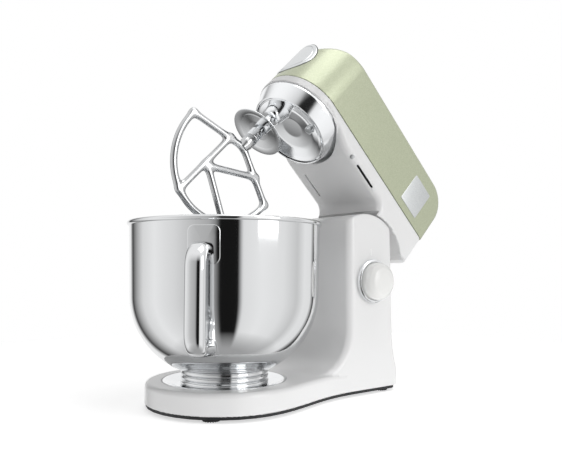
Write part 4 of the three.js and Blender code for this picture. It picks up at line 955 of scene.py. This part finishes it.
@dataclass
class Bowl:
    """Deep-drawn bowl with a rolled rim, beaded foot, weld plates and bar handle."""

    round_radius: float = 94.0
    round_r: float = 16.5
    round_z: float = 130.0
    floor_radius: float = 30.0
    top_radius: float = 112.2
    rim_z: float = 214.5
    rim_roll: float = 2.7
    rim_radius: float = 115.0
    sheet: float = 1.2
    foot_radius: float = 51.0
    foot_z: float = 26.5
    handle_angle: float = -44.0
    handle_reach: float = 152.0
    wall_rise: float = 79.1

    def wall(self, offset: float, steps: int = 48) -> Line:
        """Outside profile from the floor to just under the rim, moved outward.

        Args:
            offset: how far it is moved.
            steps: pieces in the large round.

        Returns:
            The profile's points.
        """
        start = -math.degrees(math.acos((self.floor_radius - self.round_r) / self.round_radius))
        curve = arc((self.round_r, self.round_z), self.round_radius + offset, start, 0, steps)
        side = self.round_r + self.round_radius
        curve += [
            (side + offset + (self.top_radius - side) * t, self.round_z + self.wall_rise * t)
            for t in np.linspace(0.05, 1, 12)
        ]
        return curve

    def radius_at(self, z: float, offset: float = 0.0) -> float:
        """Radius of the outside at a height."""
        line = self.wall(offset)
        return float(np.interp(z, [p[1] for p in line], [p[0] for p in line]))

    def underside(self, radius: float) -> float:
        """Height of the outside at a radius on the large round."""
        return self.round_z - math.sqrt(self.round_radius**2 - (radius - self.round_r) ** 2)

    def build(self) -> None:
        """Makes the bowl's pieces."""
        outer, inner = self.wall(0), self.wall(-self.sheet)[::-1]
        centre = (self.rim_radius - self.rim_roll, self.rim_z - self.rim_roll)
        roll = arc(centre, self.rim_roll, -70, 180, 14)
        floor = outer[0][1]
        profile = [(0, floor), *outer, *roll, *inner, (0, floor + self.sheet)]
        solid(
            "mirror_bowl", turned(profile, 192), Place.STAND,
            STAINLESS, "bowl", "stainless", "bowl_shell", crease=60,
        )
        self.foot()
        self.handle()
        self.weld("upper", 17, 164, 204)
        self.weld("lower", 12, 67, 87)

    def foot(self) -> None:
        """The beaded foot ring with its bayonet tabs."""
        radius = self.foot_radius
        top = self.underside(radius) - GAP
        profile = [(45.5, self.foot_z), (radius + 0.4, self.foot_z), (radius + 0.8, self.foot_z + 0.4)]
        for low, high, bulge in ((self.foot_z + 0.8, 31.5, 0.0), (32.2, 37.2, 0.5), (38.0, 43.0, 0.5)):
            middle_z, half = (low + high) / 2, (high - low) / 2
            profile += [
                (radius - 0.9 + (1.7 - bulge) * math.cos(a), middle_z + half * math.sin(a))
                for a in np.linspace(-math.pi / 2, math.pi / 2, 11)
            ]
        inner = radius - 2.2
        profile += [
            (radius - 0.6, 44.2), (radius, top), (inner, self.underside(inner) - GAP), (inner, self.foot_z + 2),
            (45.5, self.foot_z + 2), (45.5, self.foot_z),
        ]
        profile = [(r, z) for r, z in profile if z <= top + 0.5]
        bayonet = tabs(39.5, 50, (self.foot_z, self.foot_z + 2), (-15, 75), 14)
        solid(
            "beaded_foot", joined(turned(profile, 144), bayonet), Place.STAND,
            STAINLESS, "bowl", "stainless", "bowl_foot",
        )

    def turn(self, points: Array) -> Array:
        """Turns points drawn over +X round to the handle's side.

        Args:
            points: rows of x, y, z.

        Returns:
            The turned rows.
        """
        angle = math.radians(self.handle_angle)
        out = np.array(points, float)
        out[:, 0] = points[:, 0] * math.cos(angle) - points[:, 1] * math.sin(angle)
        out[:, 1] = points[:, 0] * math.sin(angle) + points[:, 1] * math.cos(angle)
        return out

    def handle(self) -> None:
        """The oval bar, bent twice, whose ends close on the weld plates."""
        reach, bend, high, low = self.handle_reach - 7, 19.0, 180.0, 79.0
        skin = GAP * 2 + self.sheet
        line = [(self.radius_at(low - 2, skin) - 0.2, low - 3), (112, low - 1.2)]
        line += arc((reach - bend, low + bend), bend, -78, 0, 10)
        line += arc((reach - bend, high - bend), bend, 0, 84, 10)
        line += [(120, high), (self.radius_at(high, skin) - 0.2, high)]
        path = np.array(line)
        smooth = []
        for i in range(len(path) - 1):
            count = max(2, int(np.linalg.norm(path[i + 1] - path[i]) / 3))
            smooth += [path[i] + (path[i + 1] - path[i]) * t / count for t in range(count)]
        path = np.array([*smooth, path[-1]])
        for _ in range(6):
            path[1:-1] = (path[:-2] + 2 * path[1:-1] + path[2:]) / 4
        tangent = np.gradient(path, axis=0)
        tangent /= np.linalg.norm(tangent, axis=1)[:, None]
        normal = np.stack([tangent[:, 1], -tangent[:, 0]], -1)
        sides = 40
        angles = np.linspace(0, 2 * math.pi, sides, endpoint=False)
        deep = 7 * np.sign(np.cos(angles)) * np.abs(np.cos(angles)) ** 0.85
        wide = 10.4 * np.sign(np.sin(angles)) * np.abs(np.sin(angles)) ** 0.85
        rings = []
        for centre, out in zip(path, normal):
            radial, up = centre[0] + out[0] * deep, centre[1] + out[1] * deep
            rings.append(np.column_stack([radial, wide, up]))
        solid(
            "bar_handle", lofted([self.turn(ring) for ring in rings]), Place.STAND,
            STAINLESS, "bowl", "stainless", "bowl_handle",
        )

    def weld(self, which: str, half: float, low: float, high: float) -> None:
        """A rounded plate that follows the wall behind one end of the handle.

        Args:
            which: upper or lower.
            half: half its width.
            low: its lowest height.
            high: its highest height.
        """
        corner = min(half, 7.0) - 0.01
        outline = softened(
            [
                (0, low), (half, low, corner), (half, high, corner), (-half, high, corner), (-half, low, corner),
                (0, low),
            ]
        )[:-1]
        centre = np.array([0.0, (low + high) / 2])
        flat = np.array(outline)
        layers = [(0.2, 1.0), (1.2, 1.0), (1.45, 0.985), (1.5, 0.96), (1.5, 0.6), (1.5, 0.2)]
        rings = []
        for offset, share in layers:
            ring = centre + (flat - centre) * share
            radius = np.array([self.radius_at(z, offset) for z in ring[:, 1]])
            rings.append(np.column_stack([np.sqrt(radius**2 - ring[:, 0] ** 2), ring[:, 0], ring[:, 1]]))
        solid(
            f"weld_plate_{which}", lofted([self.turn(ring) for ring in rings]), Place.STAND,
            STAINLESS, "bowl", "stainless", f"handle_plate_{which}",
        )


# ---- head --------------------------------------------------------------------------------------------------


@dataclass
class Head:
    """Lacquered cover, white casing with room for the outlet's ring, nose cap, blank badge and a screw cap."""

    top: float = 346.2
    rear: float = 230.0
    top_corner: float = 37.0
    edge: float = 5.0
    nose: float = 62.9
    band_z: float = 254.5
    neck_y: float = 144.0
    neck_fillet: float = 16.3
    casing_corner: float = 9.0
    rear_lip: float = 221.0
    arch: float = 63.8
    cap_radius: float = 31.0
    cap_z: float = 310.0
    skirt: float = 58.0
    arm_room: float = 7.0
    hollow_low: float = 225.0
    hollow_corner: float = 5.8
    ring_room: float = 61.9
    mouth: float = 62.3
    collar: float = 63.0
    bore: float = 49.7
    left_vent: tuple[float, float] = (-40.5, 95.5)
    right_vent: tuple[float, float, float] = (60.1, 96.5, 245.5)

    def cover_outside(self, x: Array, y: Array, z: Array) -> Array:
        """Distance from the outside of the cover.

        Args:
            x: distance across.
            y: distance back from the bowl's axis.
            z: height.

        Returns:
            Distance, less than 0 inside.
        """
        centre_y, half_y = (self.rear - self.nose) / 2, (self.rear + self.nose) / 2
        u, v = np.abs(y - centre_y) - half_y + self.top_corner, z - self.top + self.top_corner
        profile = np.hypot(np.maximum(u, 0), np.maximum(v, 0)) + np.minimum(np.maximum(u, v), 0) - self.top_corner
        side = np.maximum(nose_plan(x, y, self.nose), np.abs(x) - HALF_WIDTH)
        share = np.clip((np.abs(x) / np.maximum(np.hypot(x, y), 1e-6) - 0.1) / 0.7, 0, 1)
        share = np.where(y < 0, share * share * (3 - 2 * share), 1.0)
        return crown(profile, side, 0.4 + (self.edge - 0.4) * share)

    def cover(self, x: Array, y: Array, z: Array) -> Array:
        """Distance from the cover's shell."""
        outer = self.cover_outside(x, y, z)
        return np.maximum(np.maximum(outer, -(outer + WALL)), SEAM_Z - z)

    def casing(self, x: Array, y: Array, z: Array) -> Array:
        """Distance from the white casing with its arch, slots and hollow.

        Args:
            x: distance across.
            y: distance back from the bowl's axis.
            z: height.

        Returns:
            Distance, less than 0 in the metal.
        """
        side = np.abs(x)
        share = np.clip(y / self.skirt, 0, 1)
        under = self.band_z - (self.band_z - UNDERSIDE_Z) * share * share * (3 - 2 * share)

        def tub(inset: float, corner: float) -> Array:
            """Distance from the casing's outline.

            Args:
                inset: how far the outline is moved inward.
                corner: radius of its lower edges.

            Returns:
                Distance, less than 0 inside.
            """
            lower = fillet(under - z, self.neck_y - y, self.neck_fillet)
            body = np.maximum(lower, y - self.rear) + inset
            body = crown(body, side - HALF_WIDTH + inset, corner)
            return np.maximum(body, nose_plan(x, y, self.nose) + inset)

        dy, dz = y - PIVOT_Y, z - PIVOT_Z
        outer = np.maximum(tub(0.0, self.casing_corner), z - SEAM_Z + GAP)
        roof = np.where(y > self.neck_y, -disc(dy, dz, self.arch + self.arm_room + WALL), under + WALL - z)
        floor = np.where(y > self.neck_y, self.hollow_low - z, -99.0)
        hollow = np.maximum(np.maximum(tub(WALL, self.hollow_corner), roof), floor)
        body = np.maximum(outer, -hollow)
        body = np.maximum(body, -disc(dy, dz, self.arch))
        body = np.maximum(body, -np.maximum(disc(dy, dz, self.arch + self.arm_room), side - HALF_WIDTH + WALL))
        body = np.maximum(body, -np.maximum(-dy, z - self.rear_lip))
        body = np.maximum(body, -np.maximum(disc(x, y, self.ring_room), z - self.band_z))
        mouth = np.maximum(disc(x, y, self.mouth), np.maximum(self.band_z - z, z - self.band_z - WALL))
        collar = np.maximum(np.abs(disc(x, y, self.collar)) - 1.1, np.maximum(under - z, -y))
        body = np.minimum(body, np.maximum(mouth, nose_plan(x, y, self.nose) + 0.2))
        body = np.minimum(body, np.maximum(np.maximum(collar, z - self.band_z - WALL), side - HALF_WIDTH + 1))
        body = np.maximum(body, -disc(x, y, self.bore))
        vent_x, vent_y = self.left_vent
        along = np.maximum(np.abs(y - vent_y) - 19, 0)
        left = np.maximum(np.hypot(x - vent_x, along) - 1.4, z - UNDERSIDE_Z - 6)
        vent_x, vent_y, vent_z = self.right_vent
        across = ((x - vent_x) + (z - vent_z)) / math.sqrt(2)
        depth = ((x - vent_x) - (z - vent_z)) / math.sqrt(2)
        along = np.maximum(np.abs(y - vent_y) - 18, 0)
        right = np.maximum(np.hypot(across, along) - 1.3, np.abs(depth) - 5)
        return np.maximum(np.maximum(body, -left), -right)

    def build(self) -> None:
        """Makes the head's shells and trim."""
        mesh = cast("sage_cover", self.cover, (-66, -66, 262), (66, 234, 350), 1.7, Place.HEAD)
        show("sage_cover", mesh, SAGE, "head", "green_paint", "head_cover")
        mesh = cast("white_casing", self.casing, (-66, -66, 165), (66, 234, 270), 1.5, Place.HEAD)
        show("white_casing", mesh, WHITE, "head", "white_paint", "head_lower_casing")
        self.cap()
        self.badge()
        self.screw_cap()

    def on_nose(self, radius: float, reach: float, steps: int = 96) -> Array:
        """A ring round the cap's axis that lies on an upright cylinder about the bowl's axis.

        Args:
            radius: of the ring.
            reach: radius of the cylinder.
            steps: points in the ring.

        Returns:
            The ring's points.
        """
        angles = np.linspace(0, 2 * math.pi, steps, endpoint=False)
        x = radius * np.cos(angles)
        return np.column_stack([x, -np.sqrt(reach**2 - x**2), self.cap_z + radius * np.sin(angles)])

    def cap(self) -> None:
        """The frosted cap that follows the nose, with a shallow groove near its rim, and a ring of painted shade
        round it.
        """
        radius = self.cap_radius
        levels = [
            (radius, 62.5), (radius, 63.3), (radius - 0.4, 63.7), (radius - 1.2, 63.9), (radius - 4.2, 63.9),
            (radius - 4.6, 63.5), (radius - 5.4, 63.5), (radius - 5.8, 63.9), (radius - 12, 63.9),
            (radius - 20, 63.9), (0.01, 63.9),
        ]
        solid(
            "frosted_cap", lofted([self.on_nose(*level) for level in levels]), Place.HEAD,
            FROSTED, "head", "chrome_plate", "nose_cap",
        )
        out, back, face = radius + 0.9, 62.4, 63.05
        levels = [(out, back), (out, face), (radius - 1, face), (radius - 1, back)]
        rings = [self.on_nose(*level) for level in levels]
        # painted shade: a near-black ring sits in the narrow gap round the cap
        solid("cap_shade_ring", lofted(rings, capped=False, looped=True), Place.HEAD, SHADOW, "head", "black_plastic")

    def badge(self) -> None:
        """A blank brushed plate let into the cover's side."""
        front, back, low, high = 159, 198.5, 277.2, 324.5
        corners = [(back, low, 2), (back, high, 2), (front, high, 2), (front, low, 2)]
        outline = softened([(179, low), *corners, (179, low)], 4)[:-1]
        solid(
            "blank_badge", plate(outline, HALF_WIDTH - 0.8, HALF_WIDTH + 0.5, 0.35), Place.HEAD,
            BRUSHED, "head", "cast_aluminium", "side_badge",
        )

    def screw_cap(self) -> None:
        """A moulded cap over the screw in the casing's rounded edge."""
        lean = math.radians(-40)
        points, faces = turned(softened([(0, -2), (3.3, -2), (3.3, 0.1, 0.3), (0, 0.3)]), 32)
        out = np.column_stack(
            [points[:, 2] * math.cos(lean) - points[:, 0] * math.sin(lean), points[:, 1],
             points[:, 2] * math.sin(lean) + points[:, 0] * math.cos(lean)]
        )
        out += np.array([60.6, 64.0, 246.1])
        solid("casing_screw_cap", (out, faces), Place.HEAD, FROSTED, "head", "white_plastic")


@dataclass
class Drive:
    """The bright outlet: ring, turning dish, spindle and drip disc."""

    front_z: float = 231.2
    back_z: float = 254.2
    front_radius: float = 53.3
    back_radius: float = 61.1
    dish_radius: float = 50.4
    disc_z: float = 191.7
    disc_radius: float = 35.5
    screw: tuple[float, float] = (29.0, 8.0)

    def build(self) -> None:
        """Makes the planetary outlet's pieces."""
        inner = self.front_radius - 2
        ring = softened(
            [
                (inner, self.front_z + 0.6, 0.3), (self.front_radius - 1, self.front_z, 0.6),
                (self.front_radius, self.front_z + 0.8, 0.5), (self.back_radius, self.back_z - 3, 3),
                (self.back_radius, self.back_z), (self.back_radius - 6, self.back_z),
                (self.back_radius - 6, self.back_z - 1.6), (self.back_radius - 2, self.back_z - 4),
                (inner, self.front_z + 0.6),
            ]
        )
        solid("cone_ring", turned(ring, 160), Place.HEAD, CHROME, "head", "chrome_plate", "outlet_ring")
        dish = softened(
            [
                (0, 240), (15, 240.5, 20), (32, 238.6, 30), (44, 234.6, 20), (self.dish_radius - 1.5, 232.5, 1.5),
                (self.dish_radius, 233.1, 0.4), (self.dish_radius, 236, 1), (44, 242), (30, 245.5), (8, 245.5),
                (8, 292.5), (14, 292.5), (10, 297.5), (0, 297.5),
            ],
            8,
        )
        at = (0, TOOL_Y, 0)
        hub = [(6.4, 219.8), (11, 219.8, 1.5), (12.5, 223, 6), (16, 242, 4), (16, 245.4), (6.4, 245.4), (6.4, 219.8)]
        boss = turned(softened(hub), 72, at=at)
        solid(
            "mirror_dish", joined(turned(dish, 160), boss), Place.HEAD,
            CHROME, "planet_hub", "chrome_plate", "planet_hub", crease=40,
        )
        screw_line = softened([(0, 234.6), (3.9, 234.6, 0.9), (5.4, 235.6, 0.6), (5.4, 241), (0, 241)])
        screw = turned(screw_line, 40, at=(*self.screw, 0))
        socket = RingOf("screw_splines").points(2.2, 6, (0.9, 1.1, 1.0), STEEL)
        splines = (socket[0] + np.array([*self.screw, 234.5]), socket[1])
        solid("dish_screw", joined(screw, splines), Place.HEAD, FROSTED, "planet_hub", "stainless", "hub_screw")
        spindle = softened(
            [
                (0, 186.7), (5.4, 186.7), (5.4, 178), (8.5, 178, 0.8), (8.5, 190.3, 0.8), (5, 190.3), (5, 193.3),
                (6, 193.3, 0.4), (6, 256), (0, 256),
            ]
        )
        solid(
            "bright_spindle", turned(spindle, 72, at=at), Place.HEAD,
            CHROME, "tool", "chrome_plate", "tool_spindle",
        )
        z = self.disc_z
        edge = self.disc_radius
        disc_line = softened(
            [(5.3, z + 1.6), (14, z + 1.2, 20), (26, z - 0.2, 20), (edge - 1, z - 1.6), (edge, z - 1.4, 0.3),
             (edge, z - 0.7, 0.3), (edge - 1, z - 0.6), (22, z + 1.3, 20), (12, z + 2.3, 6), (8.2, z + 3.2, 1.5),
             (5.3, z + 3.4), (5.3, z + 1.6)]
        )
        solid("drip_shield", turned(disc_line, 128, at=at), Place.HEAD, CHROME, "tool", "chrome_plate", "drip_disc")


@dataclass
class Beater:
    """K-shaped beater, cast in one piece and polished, with webs where its bars meet."""

    bar: float = 4.2
    half_width: float = 72.0
    corner_z: float = 134.2
    bottom_z: float = 54.5
    top_z: float = 160.3
    web: float = 7.0

    def bars(self) -> list[tuple[float, float, float, float]]:
        """The straight bars as y, z of each end.

        Returns:
            A row for each bar.
        """
        left, right = TOOL_Y - self.half_width, TOOL_Y + self.half_width
        spine = TOOL_Y - 20
        return [
            (TOOL_Y, self.top_z, left, self.corner_z),
            (TOOL_Y, self.top_z, right, self.corner_z),
            (spine, 155.0, spine, self.bottom_z + 3),
            (spine + 5, 105.2, TOOL_Y + 39, 148.5),
            (spine + 5, 105.2, TOOL_Y + 46, 74.0),
        ]

    def rim(self, y: Array, z: Array) -> Array:
        """Distance from the middle line of the half-oval rim.

        Args:
            y: distance back from the bowl's axis.
            z: height.

        Returns:
            Distance, never less than 0.
        """
        across, down = self.half_width, self.corner_z - self.bottom_z
        u, v = np.abs(y - TOOL_Y), np.minimum(z - self.corner_z, 0)
        share = np.hypot(u / across, v / down)
        slope = np.hypot(u / across**2, v / down**2)
        on_curve = np.abs(share - 1) * share / np.maximum(slope, 1e-6)
        return np.where(z > self.corner_z, np.hypot(u - across, z - self.corner_z), on_curve)

    def shape(self, x: Array, y: Array, z: Array) -> Array:
        """Distance from the beater.

        Args:
            x: distance across.
            y: distance back from the bowl's axis.
            z: height.

        Returns:
            Distance, less than 0 in the metal.
        """
        sharp = 2.9 / self.web
        total = np.exp(-sharp * self.rim(y, z))
        for y0, z0, y1, z1 in self.bars():
            along = np.clip(((y - y0) * (y1 - y0) + (z - z0) * (z1 - z0)) / ((y1 - y0) ** 2 + (z1 - z0) ** 2), 0, 1)
            total = total + np.exp(-sharp * np.hypot(y - y0 - along * (y1 - y0), z - z0 - along * (z1 - z0)))
        flat = -np.log(total) / sharp
        return np.hypot(np.maximum(flat, 0), x * 1.02) - self.bar

    def build(self) -> None:
        """Makes the beater and its shank."""
        mesh = cast("cast_beater", self.shape, (-6, -110, 48), (6, 50, 168), 1.05, Place.HEAD)
        show("cast_beater", mesh, POLISHED_CASTING, "tool", "stainless", "k_beater")
        shank = turned(
            softened([(0, 158), (6.5, 158), (8.5, 166, 3), (8.5, 177.6, 0.6), (5, 177.6), (5, 186), (0, 186)]), 64,
            at=(0, TOOL_Y, 0),
        )
        pin = turned(softened([(0, -12), (2, -12, 0.5), (2, 12, 0.5), (0, 12)]), 24, Axis.X, (0, TOOL_Y, 183.7))
        solid("shank", joined(shank, pin), Place.HEAD, POLISHED_CASTING, "tool", "stainless", "beater_shank")


# ---- the rest of the frame, floor, light and camera --------------------------------------------------------


def dress_frame() -> None:
    """Gives every CAD node that still shows the finish of its slot."""
    slots = {row["node"]: row["material_slot"] for row in frame["record"]["subparts"]}
    for name, obj in frame["nodes"].items():
        finish = SLOT_FINISH[slots[name]]
        obj.data.materials.clear()
        obj.data.materials.append(finish.material())


class Studio:
    """Plain pale floor, soft lights and the camera."""

    azimuth = 52.3
    pitch = 3.32
    roll = 0.13
    lens = 39.2
    eye = (617.5, -393.9, 158.7)
    floor_radius = 0.8
    fill = 0.30
    aim = (0.0, 0.0, 0.22)
    flags = (
        (0.0, 0.9), (0.08, 0.95), (0.11, 0.04), (0.135, 0.3), (0.19, 0.85), (0.25, 1.0), (0.33, 0.85), (0.40, 0.62),
        (0.448, 0.5), (0.468, 0.30), (0.482, 0.01), (0.540, 0.01), (0.556, 0.9), (0.62, 1.0), (0.70, 0.92),
        (0.76, 0.7), (0.80, 0.95), (0.84, 0.9), (0.865, 0.04), (0.89, 0.3), (0.93, 0.85), (1.0, 0.9),
    )

    def camera(self) -> None:
        """Sets the camera at its measured place."""
        az, up_turn, ro = (math.radians(v) for v in (self.azimuth, self.pitch, self.roll))
        ahead = Vector((-math.sin(az), math.cos(az), 0))
        right = Vector((math.cos(az), math.sin(az), 0))
        up = Vector((0, 0, 1))
        look = ahead * math.cos(up_turn) + up * math.sin(up_turn)
        over = up * math.cos(up_turn) - ahead * math.sin(up_turn)
        side = right * math.cos(ro) + over * math.sin(ro)
        over = over * math.cos(ro) - right * math.sin(ro)
        data = bpy.data.cameras.new("camera")
        data.lens, data.sensor_width, data.clip_start = self.lens, 36.0, 0.02
        camera = bpy.data.objects.new("camera", data)
        turn = Matrix((side, over, -look)).transposed().to_4x4()
        place = Vector(self.eye) * MM + Vector((0, AXIS_Y, 0))
        camera.matrix_world = Matrix.Translation(place) @ turn
        bpy.context.scene.collection.objects.link(camera)
        bpy.context.scene.camera = camera

    def bands(self, tree: bpy.types.NodeTree, place: bpy.types.NodeSocket) -> bpy.types.NodeSocket:
        """Brightness of the room by direction: white walls with a few dark flags.

        Args:
            tree: the node tree it is added to.
            place: a vector that points the way.

        Returns:
            A colour socket.
        """
        facing = math.atan2(self.eye[1], self.eye[0])
        turned_to = add_node(tree, "ShaderNodeMapping", {"Rotation": (0, 0, -facing)}, {"Vector": place})
        radial = add_node(
            tree, "ShaderNodeTexGradient", links={"Vector": turned_to.outputs["Vector"]}, gradient_type="RADIAL"
        ).outputs["Fac"]
        ramp = add_node(tree, "ShaderNodeValToRGB", links={"Fac": radial})
        points = ramp.color_ramp.elements
        while len(points) < len(self.flags):
            points.new(0.5)
        for point, (position, shade) in zip(points, self.flags):
            point.position = position
            point.color = (shade, shade, shade, 1)
        return ramp.outputs["Color"]

    def floor(self) -> None:
        """A pale round floor; mirrors see the room's walls go on below it."""
        work = bmesh.new()
        bmesh.ops.create_circle(work, cap_ends=True, segments=96, radius=self.floor_radius)
        mesh = bpy.data.meshes.new("floor")
        work.to_mesh(mesh)
        work.free()
        material = bpy.data.materials.new("pale_floor")
        material.use_nodes = True
        tree = material.node_tree
        tree.nodes.clear()
        paper = add_node(tree, "ShaderNodeBsdfDiffuse", {"Color": linear("#E8E8E8")})
        glow = add_node(tree, "ShaderNodeEmission", {"Strength": 0.62})
        seen = add_node(
            tree, "ShaderNodeAddShader", links={0: paper.outputs["BSDF"], 1: glow.outputs["Emission"]}
        ).outputs["Shader"]
        add_node(tree, "ShaderNodeOutputMaterial", links={"Surface": seen})
        mesh.materials.append(material)
        obj = bpy.data.objects.new("floor", mesh)
        obj.visible_glossy = False
        bpy.context.scene.collection.objects.link(obj)

    def light(self, name: str, place: Sequence[float], size: tuple[float, float], power: float) -> None:
        """One soft box that faces the mixer.

        Args:
            name: the light's name.
            place: where it hangs, in metres.
            size: its two sides, in metres.
            power: in watts.
        """
        data = bpy.data.lights.new(name, "AREA")
        data.shape, data.size, data.size_y, data.energy = "RECTANGLE", size[0], size[1], power
        obj = bpy.data.objects.new(name, data)
        obj.location = place
        toward = Vector(self.aim) - Vector(place)
        obj.rotation_euler = toward.to_track_quat("-Z", "Y").to_euler()
        bpy.context.scene.collection.objects.link(obj)

    def surroundings(self) -> None:
        """A white room with darker flags, which bright metal mirrors."""
        world = bpy.data.worlds.new("studio")
        bpy.context.scene.world = world
        world.use_nodes = True
        tree = world.node_tree
        tree.nodes.clear()
        place = add_node(tree, "ShaderNodeTexCoord").outputs["Generated"]
        walls = self.bands(tree, place)
        height = add_node(tree, "ShaderNodeSeparateXYZ", links={"Vector": place}).outputs["Z"]
        ceiling = add_node(
            tree, "ShaderNodeMapRange", {"From Min": 0.4, "From Max": 0.85}, {"Value": height}
        ).outputs["Result"]
        ground = add_node(
            tree, "ShaderNodeMapRange", {"From Min": -0.75, "From Max": -0.97}, {"Value": height}
        ).outputs["Result"]
        view = walls
        for share, shade in ((ceiling, 1.0), (ground, 0.42)):
            plain = {MIX_B: (shade, shade, shade, 1)}
            links = {"Factor": share, MIX_A: view}
            view = add_node(tree, "ShaderNodeMix", plain, links, data_type="RGBA").outputs[MIX_RESULT]
        room = add_node(tree, "ShaderNodeBackground", {"Strength": 1.05}, {"Color": view})
        white = add_node(tree, "ShaderNodeBackground", {"Color": (1, 1, 1, 1), "Strength": 1.0})
        soft = add_node(tree, "ShaderNodeBackground", {"Color": (1, 1, 1, 1), "Strength": self.fill})
        paths = add_node(tree, "ShaderNodeLightPath").outputs
        dull = add_node(
            tree,
            "ShaderNodeMixShader",
            links={0: paths["Is Diffuse Ray"], 1: room.outputs["Background"], 2: soft.outputs["Background"]},
        )
        both = add_node(
            tree,
            "ShaderNodeMixShader",
            links={0: paths["Is Camera Ray"], 1: dull.outputs["Shader"], 2: white.outputs["Background"]},
        )
        add_node(tree, "ShaderNodeOutputWorld", links={"Surface": both.outputs["Shader"]})

    def build(self) -> None:
        """Sets the whole studio."""
        self.camera()
        self.floor()
        self.surroundings()
        self.light("side", (2.0, 0.5, 0.9), (1.0, 1.4), 13)
        self.light("top", (0.5, 0.2, 2.2), (1.2, 1.2), 9)
        view = bpy.context.scene.view_settings
        view.view_transform = "Standard"
        view.look = "None"


def main() -> None:
    """Builds every piece in order."""
    dress_frame()
    for part in (Stand(), Dial(), Bowl(), Head(), Drive(), Beater()):
        part.build()
        LOG.info("%s done", type(part).__name__)
    Studio().build()


if __name__ == "__main__":
    main()
